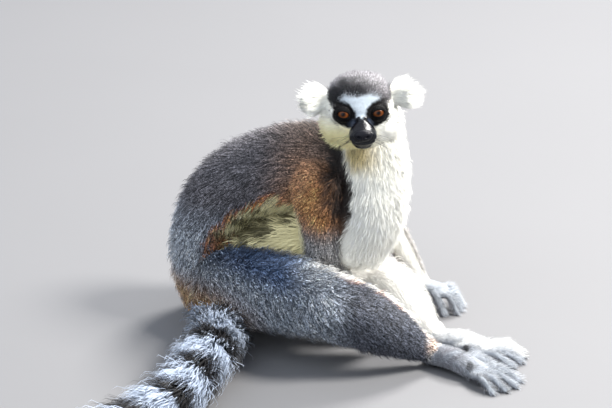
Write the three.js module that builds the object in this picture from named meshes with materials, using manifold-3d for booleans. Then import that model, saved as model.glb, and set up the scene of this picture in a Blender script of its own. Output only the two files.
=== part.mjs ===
// A ring-tailed lemur sitting on its rump, life size, in millimetres.
// +Z is up and z = 0 is the floor. The face looks along -Y, the feet point towards +X and -Y.
// The origin is the middle of the flat under the rump. Sizes reach out to the tips of the coat.
import * as THREE from 'three';
import { mergeVertices } from 'three/addons/utils/BufferGeometryUtils.js';
import Module from 'manifold-3d';

const wasm = await Module();
wasm.setup();

const seam = 0.3; // clear gap between neighbouring sub-parts
const v = (x, y, z) => new THREE.Vector3(x, y, z);
const degrees = THREE.MathUtils.degToRad;

// ---- driving dimensions ----
const pelvisYaw = degrees(22); // how far the hips face from +X towards -Y
const chestYaw = degrees(42);
const headCentre = v(144.5, -72, 245.5);
const headTurn = { pitchUp: degrees(4), yaw: degrees(1), roll: degrees(2) };
const eyeRadius = 8.2;
const eyeSeat = { forward: 24.5, side: 17, up: 7 };
const tailTipRadius = 15;
const tailRadius = 28; // of the bushy middle
const tailLengths = 6;

/** Joint centres; heading is the way the fingers point, thumbSide is +1 for a thumb on their left. */
const arms = {
  right: {
    shoulder: v(104, -84, 176), elbow: v(108, -90, 92), wrist: v(160, -88, 21),
    knuckles: v(182, -93, 8), fingerReach: 24, heading: degrees(-14), arch: 4, thumbSide: 1,
  },
  left: {
    shoulder: v(150, -34, 172), elbow: v(165, 12, 112), wrist: v(213, 8, 25),
    knuckles: v(232, 6, 20), fingerReach: 20, heading: degrees(-8), arch: 7, thumbSide: -1,
  },
};
/** Joint centres; heading is the way the toes point, inside is +1 for a big toe on their left. */
const legs = {
  right: {
    hip: v(14, -46, 50), midThigh: v(60, -92, 63), knee: v(113, -144, 70),
    calf: v(151, -143, 54), lowerCalf: v(177, -141, 39), shin: v(196, -138, 26), ankle: v(217, -135, 15),
    ball: v(262, -168, 8), heading: degrees(-40), inside: 1,
    thighRadii: [45, 43, 36], shankRadii: [34, 32, 27, 20, 13],
  },
  left: {
    hip: v(36, 26, 50), midThigh: v(98, 4, 50), knee: v(160, -20, 43),
    calf: v(184, -43, 38), lowerCalf: v(198, -61, 30), shin: v(211, -80, 21), ankle: v(226, -101, 14),
    ball: v(270, -112, 8), heading: degrees(-18), inside: -1,
    thighRadii: [44, 38, 32], shankRadii: [30, 27, 22, 16, 12],
  },
};

// ---- shape helpers ----

/**
 * A closed tube through stations [centre, halfWidth, halfDepth] with rounded ends.
 * halfWidth is measured along `side`, halfDepth square to it and to the path.
 * `caps` are the lengths of the two rounded ends, as shares of the smaller radius there.
 * `grow` makes the whole tube thicker, for the room that a neighbour leaves round it.
 */
function loft(stations, side, { sides = 14, rings = 12, caps = [1, 1], grow = 0 } = {}) {
  const path = new THREE.CatmullRomCurve3(stations.map(([centre]) => centre));
  const radii = new THREE.CatmullRomCurve3(stations.map(([, width, depth]) => v(width, depth ?? width, 0)));
  const capRings = Math.min(3, Math.floor(rings / 3));
  const spanRings = rings - 2 * capRings;
  const geometry = new THREE.SphereGeometry(1, sides, rings);
  const position = geometry.attributes.position;
  for (let ring = 0; ring <= rings; ring++) {
    const t = THREE.MathUtils.clamp((ring - capRings) / spanRings, 0, 1);
    const before = Math.max(0, capRings - ring) / capRings;
    const after = Math.max(0, ring - rings + capRings) / capRings;
    const capAngle = (Math.PI / 2) * Math.max(before, after);
    const centre = path.getPoint(t);
    const along = path.getTangent(t);
    const across = side.clone().addScaledVector(along, -side.dot(along)).normalize();
    const deep = along.clone().cross(across);
    const radius = radii.getPoint(t);
    const capLength = (before ? -caps[0] : caps[1]) * (Math.min(radius.x, radius.y) + grow);
    centre.addScaledVector(along, Math.sin(capAngle) * capLength);
    for (let column = 0; column <= sides; column++) {
      const turn = (column / sides) * 2 * Math.PI;
      const reach = Math.cos(capAngle);
      const point = centre.clone()
        .addScaledVector(across, -Math.cos(turn) * reach * (radius.x + grow))
        .addScaledVector(deep, Math.sin(turn) * reach * (radius.y + grow));
      position.setXYZ(ring * (sides + 1) + column, point.x, point.y, point.z);
    }
  }
  return solidFrom(geometry);
}

/** The solid that a closed geometry bounds. */
function solidFrom(geometry) {
  const bare = geometry.clone();
  bare.deleteAttribute('normal');
  bare.deleteAttribute('uv');
  const merged = mergeVertices(bare, 1e-4);
  const mesh = new wasm.Mesh({
    numProp: 3,
    vertProperties: new Float32Array(merged.attributes.position.array),
    triVerts: new Uint32Array(merged.index.array),
  });
  return new wasm.Manifold(mesh);
}

/** An ellipsoid of the given radii along three axes. */
function ellipsoid(centre, axes, [rx, ry, rz], { sides = 16, rings = 10, grow = 0 } = {}) {
  const geometry = new THREE.SphereGeometry(1, sides, rings);
  const frame = new THREE.Matrix4().makeBasis(
    axes[0].clone().multiplyScalar(rx + grow),
    axes[1].clone().multiplyScalar(ry + grow),
    axes[2].clone().multiplyScalar(rz + grow),
  ).setPosition(centre);
  return solidFrom(geometry.applyMatrix4(frame));
}

const union = (solids) => solids.reduce((whole, next) => whole.add(next));
const heading = (angle) => v(Math.cos(angle), Math.sin(angle), 0);

// ---- trunk ----

const pelvisSide = v(Math.sin(pelvisYaw), Math.cos(pelvisYaw), 0);
const chestSide = v(Math.sin(chestYaw), Math.cos(chestYaw), 0);
const trunkSide = pelvisSide.clone().lerp(chestSide, 0.5).normalize();

/** The arched back, from the rump on the floor to the shoulders. */
function backArch(grow) {
  return loft([
    [v(0, 0, 31), 46, 38],
    [v(-3, 0, 58), 51, 43],
    [v(-3, 0, 90), 50, 43.5],
    [v(8, -3, 124), 48, 44],
    [v(32, -13, 151), 46, 44.5],
    [v(65, -28, 169), 45, 46],
    [v(100, -46, 178), 44, 48],
    [v(132, -60, 175), 42, 47],
  ], trunkSide, { sides: 18, rings: 14, caps: [0.87, 0.7], grow });
}

/** The soft underside between the thighs, from the breast back to the rump. */
function bellyLine(grow) {
  return loft([
    [v(118, -58, 106), 40, 38],
    [v(80, -38, 92), 43, 41],
    [v(38, -18, 72), 46, 42],
  ], trunkSide, { sides: 12, rings: 8, grow });
}

/** The upright column of the neck and the white breast, from the head down to the lap. */
function breastColumn(grow) {
  return loft([
    [v(152, -59, 238), 37, 34],
    [v(149, -60, 212), 42, 41],
    [v(153, -70, 180), 40, 43],
    [v(151, -74, 146), 39, 44],
    [v(140, -70, 112), 36, 40],
  ], chestSide, { sides: 14, rings: 11, caps: [0.5, 0.8], grow });
}

// ---- head, in its own forward, left and up directions ----

const headBasis = new THREE.Matrix4().makeRotationFromEuler(
  new THREE.Euler(-headTurn.pitchUp, -headTurn.roll, headTurn.yaw, 'ZXY'),
);
const headForward = v(0, -1, 0).transformDirection(headBasis);
const headLeft = v(1, 0, 0).transformDirection(headBasis);
const headUp = v(0, 0, 1).transformDirection(headBasis);
const headAxes = [headLeft, headUp, headForward];

/** A point of the head, in millimetres forward, left and up from its centre. */
function onHead(forward, left, up) {
  return headCentre.clone()
    .addScaledVector(headForward, forward)
    .addScaledVector(headLeft, left)
    .addScaledVector(headUp, up);
}

function cranium(grow) {
  const dome = ellipsoid(onHead(-4, 0, 7), headAxes, [36, 34.5, 39], { sides: 16, rings: 11, grow });
  const cheeks = loft([
    [onHead(3, -17.5, -9), 22, 27],
    [onHead(4, 0, -15), 25, 30],
    [onHead(3, 17.5, -9), 22, 27],
  ], headUp, { sides: 12, rings: 8, caps: [0.95, 0.95], grow });
  return union([dome, cheeks]);
}

function muzzleTube(grow) {
  return loft([
    [onHead(26, 0, -5), 14, 14],
    [onHead(37, 0, -8), 13.5, 12],
    [onHead(48, 0, -10.5), 12, 9.5],
  ], headLeft, { sides: 12, rings: 7, caps: [0.3, 0.55], grow });
}

function jawTube(grow) {
  return loft([
    [onHead(26, 0, -18.5), 13, 7.5],
    [onHead(35, 0, -19), 12, 6.5],
    [onHead(43, 0, -20), 9.5, 5],
  ], headLeft, { sides: 10, rings: 7, caps: [0.3, 0.7], grow });
}

function nosePad(grow) {
  return ellipsoid(onHead(52.5, 0, -7.5), headAxes, [6.6, 4.8, 4.2], { sides: 8, rings: 6, grow });
}

function eyeball(side, grow) {
  const seat = onHead(eyeSeat.forward, side * eyeSeat.side, eyeSeat.up);
  return ellipsoid(seat, headAxes, [eyeRadius, eyeRadius, eyeRadius], { sides: 10, rings: 7, grow });
}

/** A rounded ear standing out sideways, hollowed at the front. */
function ear(side, grow) {
  const lift = side > 0 ? 2 : -1;
  const facing = headForward.clone().addScaledVector(headLeft, side * 0.35).normalize();
  const leaf = loft([
    [onHead(-8, side * 30, 15), 13, 9],
    [onHead(-8, side * 43, 15 + lift), 16, 8],
    [onHead(-5, side * 55, 14 + lift), 11.5, 5.5],
  ], headUp, { sides: 10, rings: 7, caps: [0.4, 0.85], grow });
  if (grow) return leaf;
  const hollowCentre = onHead(-6, side * 46, 14 + lift).addScaledVector(facing, 7.5);
  const hollowAxes = [headUp.clone().cross(facing), headUp, facing];
  return leaf.subtract(ellipsoid(hollowCentre, hollowAxes, [9.5, 9.5, 8], { sides: 8, rings: 6 }));
}

// ---- limbs ----

/** Fingers or toes fanned round a heading, each bent from its knuckle down to the floor. */
function fan({ root, aim, reach, count, spread, gapAcross, radius, arch, lengths, grow }) {
  const across = heading(aim + Math.PI / 2);
  const digits = [];
  for (let i = 0; i < count; i++) {
    const place = i - (count - 1) / 2;
    const out = heading(aim + place * spread);
    const length = reach * lengths[i];
    const base = root.clone().addScaledVector(across, place * gapAcross);
    const middle = base.clone().addScaledVector(out, length * 0.5).setZ(base.z * 0.6 + arch);
    const tip = base.clone().addScaledVector(out, length).setZ(radius * 0.5);
    digits.push(loft(
      [[base, radius * 1.05], [middle, radius], [tip, radius * 0.86]],
      across, { sides: 5, rings: 5, grow },
    ));
  }
  return union(digits);
}

function upperArm({ shoulder, elbow }, grow) {
  const middle = shoulder.clone().lerp(elbow, 0.5);
  return loft([[shoulder, 28, 30], [middle, 24, 25], [elbow, 20, 21]],
    chestSide, { sides: 10, rings: 8, grow });
}

function forearm({ elbow, wrist }, grow) {
  const middle = elbow.clone().lerp(wrist, 0.45);
  return loft([[elbow, 18, 19], [middle, 15.5, 16], [wrist, 10.5, 10]],
    chestSide, { sides: 10, rings: 8, grow });
}

function hand({ wrist, knuckles, fingerReach, heading: aim, arch, thumbSide }, grow) {
  const across = heading(aim + Math.PI / 2);
  const palm = loft([[wrist, 9.5, 8.5], [wrist.clone().lerp(knuckles, 0.6), 12, 8], [knuckles, 12.5, 7]],
    across, { sides: 8, rings: 6, caps: [0.6, 0.6], grow });
  const fingers = fan({
    root: knuckles, aim, reach: fingerReach, count: 4, spread: degrees(9), gapAcross: 6.8,
    radius: 3.3, arch, lengths: [0.86, 1, 1.04, 0.9], grow,
  });
  const thumbBase = wrist.clone().lerp(knuckles, 0.5).addScaledVector(across, thumbSide * 8);
  const thumb = fan({
    root: thumbBase, aim: aim + thumbSide * degrees(38), reach: fingerReach * 0.8, count: 1, spread: 0,
    gapAcross: 0, radius: 4, arch: arch * 0.3, lengths: [1], grow,
  });
  return union([palm, fingers, thumb]);
}

function thigh({ hip, midThigh, knee, thighRadii: [atHip, atMiddle, atKnee] }, grow) {
  return loft([[hip, atHip], [midThigh, atMiddle], [knee, atKnee]],
    v(0, 0, 1), { sides: 14, rings: 9, grow });
}

function shank({ knee, calf, lowerCalf, shin, ankle, shankRadii: r }, grow) {
  return loft([[knee, r[0]], [calf, r[1]], [lowerCalf, r[2]], [shin, r[3]], [ankle, r[4]]],
    v(0, 0, 1), { sides: 12, rings: 9, grow });
}

function foot({ ankle, ball, heading: aim, inside }, grow) {
  const across = heading(aim + Math.PI / 2);
  const heel = ankle.clone().addScaledVector(heading(aim), -4).setZ(11);
  const instep = ankle.clone().lerp(ball, 0.5).setZ(13);
  const sole = loft([[heel, 11, 12.5], [instep, 12.5, 12.5], [ball, 14, 9]],
    across, { sides: 8, rings: 7, caps: [0.9, 0.7], grow });
  const toes = fan({
    root: ball, aim, reach: 38, count: 4, spread: degrees(9), gapAcross: 7.9,
    radius: 3.9, arch: 5, lengths: inside > 0 ? [0.84, 1, 1.04, 0.92] : [0.92, 1.04, 1, 0.84], grow,
  });
  const bigToeBase = ankle.clone().lerp(ball, 0.42).addScaledVector(across, inside * 8).setZ(11);
  const bigToe = fan({
    root: bigToeBase, aim: aim + inside * degrees(30), reach: 42, count: 1, spread: 0,
    gapAcross: 0, radius: 5.4, arch: 6, lengths: [1], grow,
  });
  return union([sole, toes, bigToe]);
}

// ---- tail, in lengths, lying on the floor past the right thigh ----

const tailPath = new THREE.CatmullRomCurve3([
  v(-8, 4, 28), v(-18, -22, 22), v(-14, -58, 21), v(0, -98, 25), v(0, -138, 27.5), v(-8, -180, 27.5),
  v(-24, -236, 27.5), v(-50, -292, 27.5), v(-88, -346, 27.5), v(-138, -384, 26), v(-196, -402, 22),
  v(-256, -396, 13.5),
]);

/** The tail's radius at a share of its length: thin at the root, bushy, then a shorter tip. */
function tailSize(share) {
  const swell = THREE.MathUtils.smoothstep(share, 0.03, 0.24);
  const fade = THREE.MathUtils.smoothstep(share, 0.75, 1);
  const root = THREE.MathUtils.lerp(16, tailRadius, swell);
  return THREE.MathUtils.lerp(root, tailTipRadius, fade);
}

function wholeTail(grow) {
  const steps = 12;
  const stations = Array.from({ length: steps + 1 }, (_, step) => {
    const share = step / steps;
    return [tailPath.getPointAt(share), tailSize(share)];
  });
  return loft(stations, v(0, 0, 1), { sides: 12, rings: 22, grow });
}

// ---- parting the wholes into named sub-parts ----

const coat = {
  grey: [0x8d8782, 0.95], cream: [0xe9e2d2, 0.95], white: [0xf2efe8, 0.95], charcoal: [0x3d3b3b, 0.95],
  blackSkin: [0x17171a, 0.45], amber: [0xc96a1c, 0.1], ringed: [0xc9c6c2, 0.95],
};

/** Parts a whole by planes, each given as a point and the direction of what follows it. */
function partBy(whole, cuts) {
  const pieces = [];
  let rest = whole;
  for (const [at, onward] of cuts) {
    const normal = onward.clone().normalize();
    const offset = normal.dot(at);
    pieces.push(rest.trimByPlane(normal.clone().negate().toArray(), seam / 2 - offset));
    rest = rest.trimByPlane(normal.toArray(), offset + seam / 2);
  }
  return [...pieces, rest];
}

const torso = {
  names: [['head', 'white'], ['neck', 'charcoal'], ['breast', 'white'],
    ['shoulders', 'grey'], ['loin', 'grey'], ['rump', 'grey']],
  make: (grow) => union([cranium(grow), breastColumn(grow), backArch(grow), bellyLine(grow)]),
  cuts: [
    [v(147, -75, 213), v(-0.5, 0.3, -0.8)],
    [v(147, -62, 188), v(-0.6, 0.25, -0.76)],
    [v(118, -56, 150), heading(Math.PI - chestYaw)],
    [v(52, -22, 150), v(-0.85, 0.35, -0.3)],
    [v(0, 0, 96), v(-0.3, 0, -0.95)],
  ],
};

/** The direction halfway between the limb's run into a joint and its run out of it. */
const throughJoint = (before, joint, after) => joint.clone().sub(before).normalize()
  .add(after.clone().sub(joint).normalize());

function leg(side) {
  const sizes = legs[side];
  const { midThigh, knee, calf, shin, ankle } = sizes;
  return {
    names: [[`thigh_${side}`, 'grey'], [`shank_${side}`, 'grey'], [`foot_${side}`, 'white']],
    make: (grow) => union([thigh(sizes, grow), shank(sizes, grow), foot(sizes, grow)]),
    cuts: [
      [knee, throughJoint(midThigh, knee, calf)],
      [shin.clone().lerp(ankle, 0.6), ankle.clone().sub(shin)],
    ],
  };
}

function arm(side) {
  const sizes = arms[side];
  const { shoulder, elbow, wrist } = sizes;
  return {
    names: [[`upper_arm_${side}`, 'grey'], [`forearm_${side}`, 'cream'], [`hand_${side}`, 'white']],
    make: (grow) => union([upperArm(sizes, grow), forearm(sizes, grow), hand(sizes, grow)]),
    cuts: [
      [elbow, throughJoint(shoulder, elbow, wrist)],
      [wrist, wrist.clone().sub(elbow)],
    ],
  };
}

const tail = {
  names: Array.from({ length: tailLengths }, (_, n) => [`tail_${n + 1}`, 'ringed']),
  make: wholeTail,
  cuts: Array.from({ length: tailLengths - 1 }, (_, n) => {
    const share = (n + 1) / tailLengths;
    return [tailPath.getPointAt(share), tailPath.getTangentAt(share)];
  }),
};

const onePiece = (name, finish, make) => ({ names: [[name, finish]], make, cuts: [] });

/** In order of right of way: each whole gives way to those before it. */
const wholes = [
  onePiece('eye_right', 'amber', (grow) => eyeball(-1, grow)),
  onePiece('eye_left', 'amber', (grow) => eyeball(1, grow)),
  onePiece('nose_pad', 'blackSkin', nosePad),
  onePiece('muzzle', 'charcoal', muzzleTube),
  onePiece('jaw', 'charcoal', jawTube),
  onePiece('ear_right', 'white', (grow) => ear(-1, grow)),
  onePiece('ear_left', 'white', (grow) => ear(1, grow)),
  leg('right'),
  leg('left'),
  torso,
  arm('right'),
  arm('left'),
  tail,
];

/** The largest body of a solid, above the floor. */
function onFloor(solid) {
  const bodies = solid.trimByPlane([0, 0, 1], 0).decompose();
  return bodies.reduce((best, next) => (next.volume() > best.volume() ? next : best));
}

function toMesh(name, finish, solid) {
  const { vertProperties, triVerts } = solid.getMesh();
  const geometry = new THREE.BufferGeometry();
  geometry.setAttribute('position', new THREE.BufferAttribute(new Float32Array(vertProperties), 3));
  geometry.setIndex(new THREE.BufferAttribute(new Uint32Array(triVerts), 1));
  geometry.computeVertexNormals();
  const [color, roughness] = coat[finish];
  const mesh = new THREE.Mesh(geometry, new THREE.MeshStandardMaterial({ color, roughness, metalness: 0 }));
  mesh.name = name;
  return mesh;
}

const lemur = new THREE.Group();
lemur.name = 'ring_tailed_lemur';
const taken = [];
for (const { names, make, cuts } of wholes) {
  const free = taken.reduce((solid, earlier) => solid.subtract(earlier), make(0));
  taken.push(make(seam));
  partBy(free, cuts).forEach((piece, n) => {
    const [name, finish] = names[n];
    lemur.add(toMesh(name, finish, onFloor(piece)));
  });
}

export default lemur;
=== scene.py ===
import math
import time

import bpy
import numpy as np
from mathutils import Matrix


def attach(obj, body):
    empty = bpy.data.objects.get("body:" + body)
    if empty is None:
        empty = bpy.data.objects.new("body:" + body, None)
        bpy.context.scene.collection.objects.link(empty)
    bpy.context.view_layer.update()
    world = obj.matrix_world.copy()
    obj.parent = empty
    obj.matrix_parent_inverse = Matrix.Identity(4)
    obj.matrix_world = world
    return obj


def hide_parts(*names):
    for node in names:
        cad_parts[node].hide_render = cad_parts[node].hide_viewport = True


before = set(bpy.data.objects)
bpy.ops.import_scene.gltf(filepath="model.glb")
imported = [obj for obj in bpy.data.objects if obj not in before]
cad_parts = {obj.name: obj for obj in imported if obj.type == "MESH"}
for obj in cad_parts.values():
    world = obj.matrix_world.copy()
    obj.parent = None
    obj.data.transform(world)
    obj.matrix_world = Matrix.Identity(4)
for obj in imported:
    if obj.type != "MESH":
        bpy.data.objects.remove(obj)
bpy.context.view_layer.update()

# A ring-tailed lemur sitting on its rump, life size. Places and lengths in this file are
# millimetres; makeMesh turns them into metres. The face looks along -Y, +Z is up.
metre = 0.001
started = time.time()
rng = np.random.default_rng(11)


def report(text):
    print(f"[{time.time() - started:6.1f} s] {text}")


# ---- small helpers on whole arrays ----

def unit(a):
    return a / np.maximum(np.linalg.norm(a, axis=-1, keepdims=True), 1e-9)


def dot(a, b):
    return (a * b).sum(-1)


def ease(low, high, x):  # 0 below low, 1 above high, an S curve between
    t = np.clip((x - low) / (high - low), 0, 1)
    return t * t * (3 - 2 * t)


def bell(x, width):  # 1 at 0, falling away over width
    return np.exp(-((x / width) ** 2))


def tone(r, g, b):  # a screen colour, 0 to 255, as scene light
    c = np.array([r, g, b]) / 255
    return np.where(c < 0.04045, c / 12.92, ((c + 0.055) / 1.055) ** 2.4)


def mix(a, b, share):  # share 0 keeps a, 1 gives b
    return a + (b - a) * np.asarray(share)[..., None]


def waves(p, reach, seed):
    # A smooth wandering number between about -1 and 1: five sine waves of about the length
    # reach, in random directions, added up and divided by the most they usually come to.
    r = np.random.default_rng(seed)
    k = unit(r.normal(size=(5, 3))) * (2 * math.pi / reach) * r.uniform(0.6, 1.5, 5)[:, None]
    return np.sin(p @ k.T + r.uniform(0, 6.28, 5)).sum(1) / 2.6


def turned(axis, degrees):
    c, s = math.cos(math.radians(degrees)), math.sin(math.radians(degrees))
    i, j = {"x": (1, 2), "y": (2, 0), "z": (0, 1)}[axis]
    m = np.eye(3)
    m[i, i] = m[j, j] = c
    m[i, j], m[j, i] = -s, s
    return m


def curveAt(knots, shares):
    # A smooth curve through the knots (centripetal Catmull-Rom), read at shares from 0 to 1.
    knots = np.asarray(knots, float)
    last = len(knots) - 1
    padded = np.vstack([2 * knots[0] - knots[1], knots, 2 * knots[-1] - knots[-2]])
    at = np.clip(shares, 0, 1) * last
    i = np.minimum(at.astype(int), last - 1)
    w = (at - i)[:, None]
    p0, p1, p2, p3 = (padded[i + k] for k in range(4))

    def gap(a, b, other):
        d = np.sqrt(np.linalg.norm(b - a, axis=1))[:, None]
        return np.where(d < 1e-4, other, d)

    g1 = gap(p1, p2, 1.0)
    g0, g2 = gap(p0, p1, g1), gap(p2, p3, g1)
    m1 = ((p1 - p0) / g0 - (p2 - p0) / (g0 + g1) + (p2 - p1) / g1) * g1
    m2 = ((p2 - p1) / g1 - (p3 - p1) / (g1 + g2) + (p3 - p2) / g2) * g1
    w2, w3 = w * w, w * w * w
    return (2 * w3 - 3 * w2 + 1) * p1 + (w3 - 2 * w2 + w) * m1 + (3 * w2 - 2 * w3) * p2 + (w3 - w2) * m2


def gridQuads(rows, columns, closed=False):
    # Quads between the rows of a grid whose columns run in a loop; closed also joins the last
    # row to the first.
    i, j = np.meshgrid(np.arange(rows if closed else rows - 1), np.arange(columns), indexing="ij")
    below, k = (i + 1) % rows, (j + 1) % columns
    corners = [i * columns + j, below * columns + j, below * columns + k, i * columns + k]
    return np.stack(corners, -1).reshape(-1, 4)


def gridFaces(rows, columns):
    # The quads of an open grid, and a fan at each end to one more vertex.
    j = np.arange(columns)
    k = (j + 1) % columns
    base = (rows - 1) * columns
    start = np.stack([np.full(columns, rows * columns), j, k], 1)
    end = np.stack([base + k, base + j, np.full(columns, rows * columns + 1)], 1)
    return gridQuads(rows, columns), np.vstack([start, end])


def joined(surfaces):
    verts, quads, tris, start = [], [], [], 0
    for v, q, t in surfaces:
        verts.append(v)
        quads.append(q + start)
        tris.append(t + start)
        start += len(v)
    return np.vstack(verts), np.vstack(quads), np.vstack(tris)


# ---- from arrays to Blender and back ----

def newObject(name, data):
    ob = bpy.data.objects.new(name, data)
    bpy.context.scene.collection.objects.link(ob)
    return ob


def makeMesh(name, verts, quads, tris=np.zeros((0, 3), int)):
    # A new smooth mesh object from arrays of vertices and faces.
    me = bpy.data.meshes.new(name)
    me.vertices.add(len(verts))
    me.vertices.foreach_set("co", (np.asarray(verts, np.float32) * metre).ravel())
    loops = np.concatenate([quads.ravel(), tris.ravel()]).astype(np.int32)
    sizes = np.concatenate([np.full(len(quads), 4), np.full(len(tris), 3)])
    me.loops.add(len(loops))
    me.loops.foreach_set("vertex_index", loops)
    me.polygons.add(len(sizes))
    me.polygons.foreach_set("loop_start", np.concatenate([[0], np.cumsum(sizes)[:-1]]).astype(np.int32))
    me.polygons.foreach_set("use_smooth", np.full(len(sizes), True))
    me.update(calc_edges=True)
    me.validate()
    return newObject(name, me)


def read(items, field, width=1, kind=np.float32):
    out = np.empty(len(items) * width, kind)
    items.foreach_get(field, out)
    return out.reshape(-1, width) if width > 1 else out


def pointsOf(me):
    return read(me.vertices, "co", 3).astype(float) * 1000


def normalsOf(me):
    return read(me.vertices, "normal", 3).astype(float)


def movePoints(me, p):
    me.vertices.foreach_set("co", (p * metre).astype(np.float32).ravel())


def addLayer(me, name, kind, field, values):
    layer = me.attributes.new(name, kind, "POINT")
    layer.data.foreach_set(field, np.asarray(values, np.float32).ravel())


def addColour(me, name, values):
    addLayer(me, name, "FLOAT_COLOR", "color", np.column_stack([values, np.ones(len(values))]))


def addNumber(me, name, values):
    addLayer(me, name, "FLOAT", "value", values)


# ---- directions and places, the same as in the solids ----

pelvisSide = np.array([math.sin(math.radians(22)), math.cos(math.radians(22)), 0])
chestSide = np.array([math.sin(math.radians(42)), math.cos(math.radians(42)), 0])
chestForward = np.array([math.cos(math.radians(42)), -math.sin(math.radians(42)), 0])
trunkSide = unit(pelvisSide + chestSide)
upwards = np.array([0.0, 0.0, 1.0])

head = {"centre": (144.5, -72, 245.5), "pitchUp": 4, "yaw": 1, "roll": 2}
headTurn = turned("z", head["yaw"]) @ turned("x", -head["pitchUp"]) @ turned("y", -head["roll"])
headForward, headLeft, headUp = headTurn @ (0, -1, 0), headTurn @ (1, 0, 0), headTurn @ (0, 0, 1)
headAxes = np.stack([headForward, headLeft, headUp])


def onHead(forward, left, up):
    return np.array(head["centre"]) + forward * headForward + left * headLeft + up * headUp


def inHead(p):  # how far forward, left and up of the head's centre each point is
    d = p - np.array(head["centre"])
    return np.stack([dot(d, headForward), dot(d, headLeft), dot(d, headUp)], -1)


def heading(degrees):
    return np.array([math.cos(math.radians(degrees)), math.sin(math.radians(degrees)), 0])


# ---- the flesh: tubes along the bones, each row is x, y, z, half width, half depth ----
# skin: how far the skin lies inside the coat's outer line. hair: tuft length. lift: how far
# tufts stand up, 0 flat to 1 upright. width: how broad they are. hang: how much they turn
# towards the floor. lie: which way along the path they point. caps: how round each end is.

flesh = {}


def addTube(name, side, skin, hair, lift, width, rows, hang=0, lie=1, caps=(1, 1), **more):
    flesh[name] = dict(side=side, skin=skin, hair=hair, lift=lift, width=width, rows=rows,
                       hang=hang, lie=lie, caps=caps, **more)


addTube("backArch", trunkSide, skin=6, hair=14, lift=0.3, width=0.85, hang=0.3, lie=-1, caps=(0.87, 0.7), rows=[
    (0, 0, 31, 46, 38), (-3, 0, 58, 51, 43), (-3, 0, 90, 50, 43.5), (8, -3, 124, 48, 44),
    (32, -13, 151, 46, 44.5), (65, -28, 169, 45, 46), (100, -46, 178, 44, 48), (132, -60, 175, 42, 47)])
addTube("bellyLine", trunkSide, skin=7, hair=17, lift=0.3, width=1.1, hang=0.3, rows=[
    (118, -58, 106, 40, 38), (80, -38, 92, 43, 41), (38, -18, 72, 46, 42)])
addTube("breastColumn", chestSide, skin=6, hair=12, lift=0.4, width=0.68, hang=0.3, caps=(0.5, 0.8), rows=[
    (152, -59, 238, 37, 34), (149, -60, 212, 42, 41), (153, -70, 180, 40, 43), (151, -74, 146, 39, 44),
    (140, -70, 112, 36, 40)])

joints = {
    "armRight": dict(shoulder=(104, -84, 176), elbow=(108, -90, 92), wrist=(160, -88, 21), knuckles=(182, -93, 8),
                     reach=24, heading=-14, arch=4, inner=1),
    "armLeft": dict(shoulder=(150, -34, 172), elbow=(165, 12, 112), wrist=(213, 8, 25), knuckles=(232, 6, 20),
                    reach=20, heading=-8, arch=7, inner=-1),
    "legRight": dict(hip=(14, -46, 50), midThigh=(60, -92, 63), knee=(113, -144, 70), calf=(151, -143, 54),
                     lowerCalf=(177, -141, 39), shin=(196, -138, 26), ankle=(217, -135, 15), ball=(262, -168, 8),
                     heading=-40, inner=1, thigh=(45, 43, 36), shank=(34, 32, 27, 20, 13)),
    "legLeft": dict(hip=(36, 26, 50), midThigh=(98, 4, 50), knee=(160, -20, 43), calf=(184, -43, 38),
                    lowerCalf=(198, -61, 30), shin=(211, -80, 21), ankle=(226, -101, 14), ball=(270, -112, 8),
                    heading=-18, inner=-1, thigh=(44, 38, 32), shank=(30, 27, 22, 16, 12)),
}


def addDigits(name, root, aim, reach, lengths, radius, arch, spread=0, gap=0):
    # Digits fanned round an aim: knuckle, arched middle joint, last joint and a tip on the floor.
    across = heading(aim + 90)
    for i, share in enumerate(lengths):
        place = i - (len(lengths) - 1) / 2
        out = heading(aim + place * spread)
        length = reach * share
        base = root + across * place * gap
        middle = base + out * length * 0.5
        middle[2] = base[2] * 0.6 + arch
        tip = base + out * length
        tip[2] = radius * 0.5
        rows = np.array([[*base, radius * 1.05], [*middle, radius], [*tip, radius * 0.86]])
        fine = curveAt(rows, np.linspace(0, 1, 7))
        fine[:, 3] *= (1, 0.94, 0.92, 1.06, 0.93, 0.9, 1)  # the joints stand out a little
        addTube(f"{name}.{i}", across, skin=0.4, hair=8.5, lift=0.42, width=0.6, digit=True,
                rows=[(*r, r[3]) for r in fine.tolist()])


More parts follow.
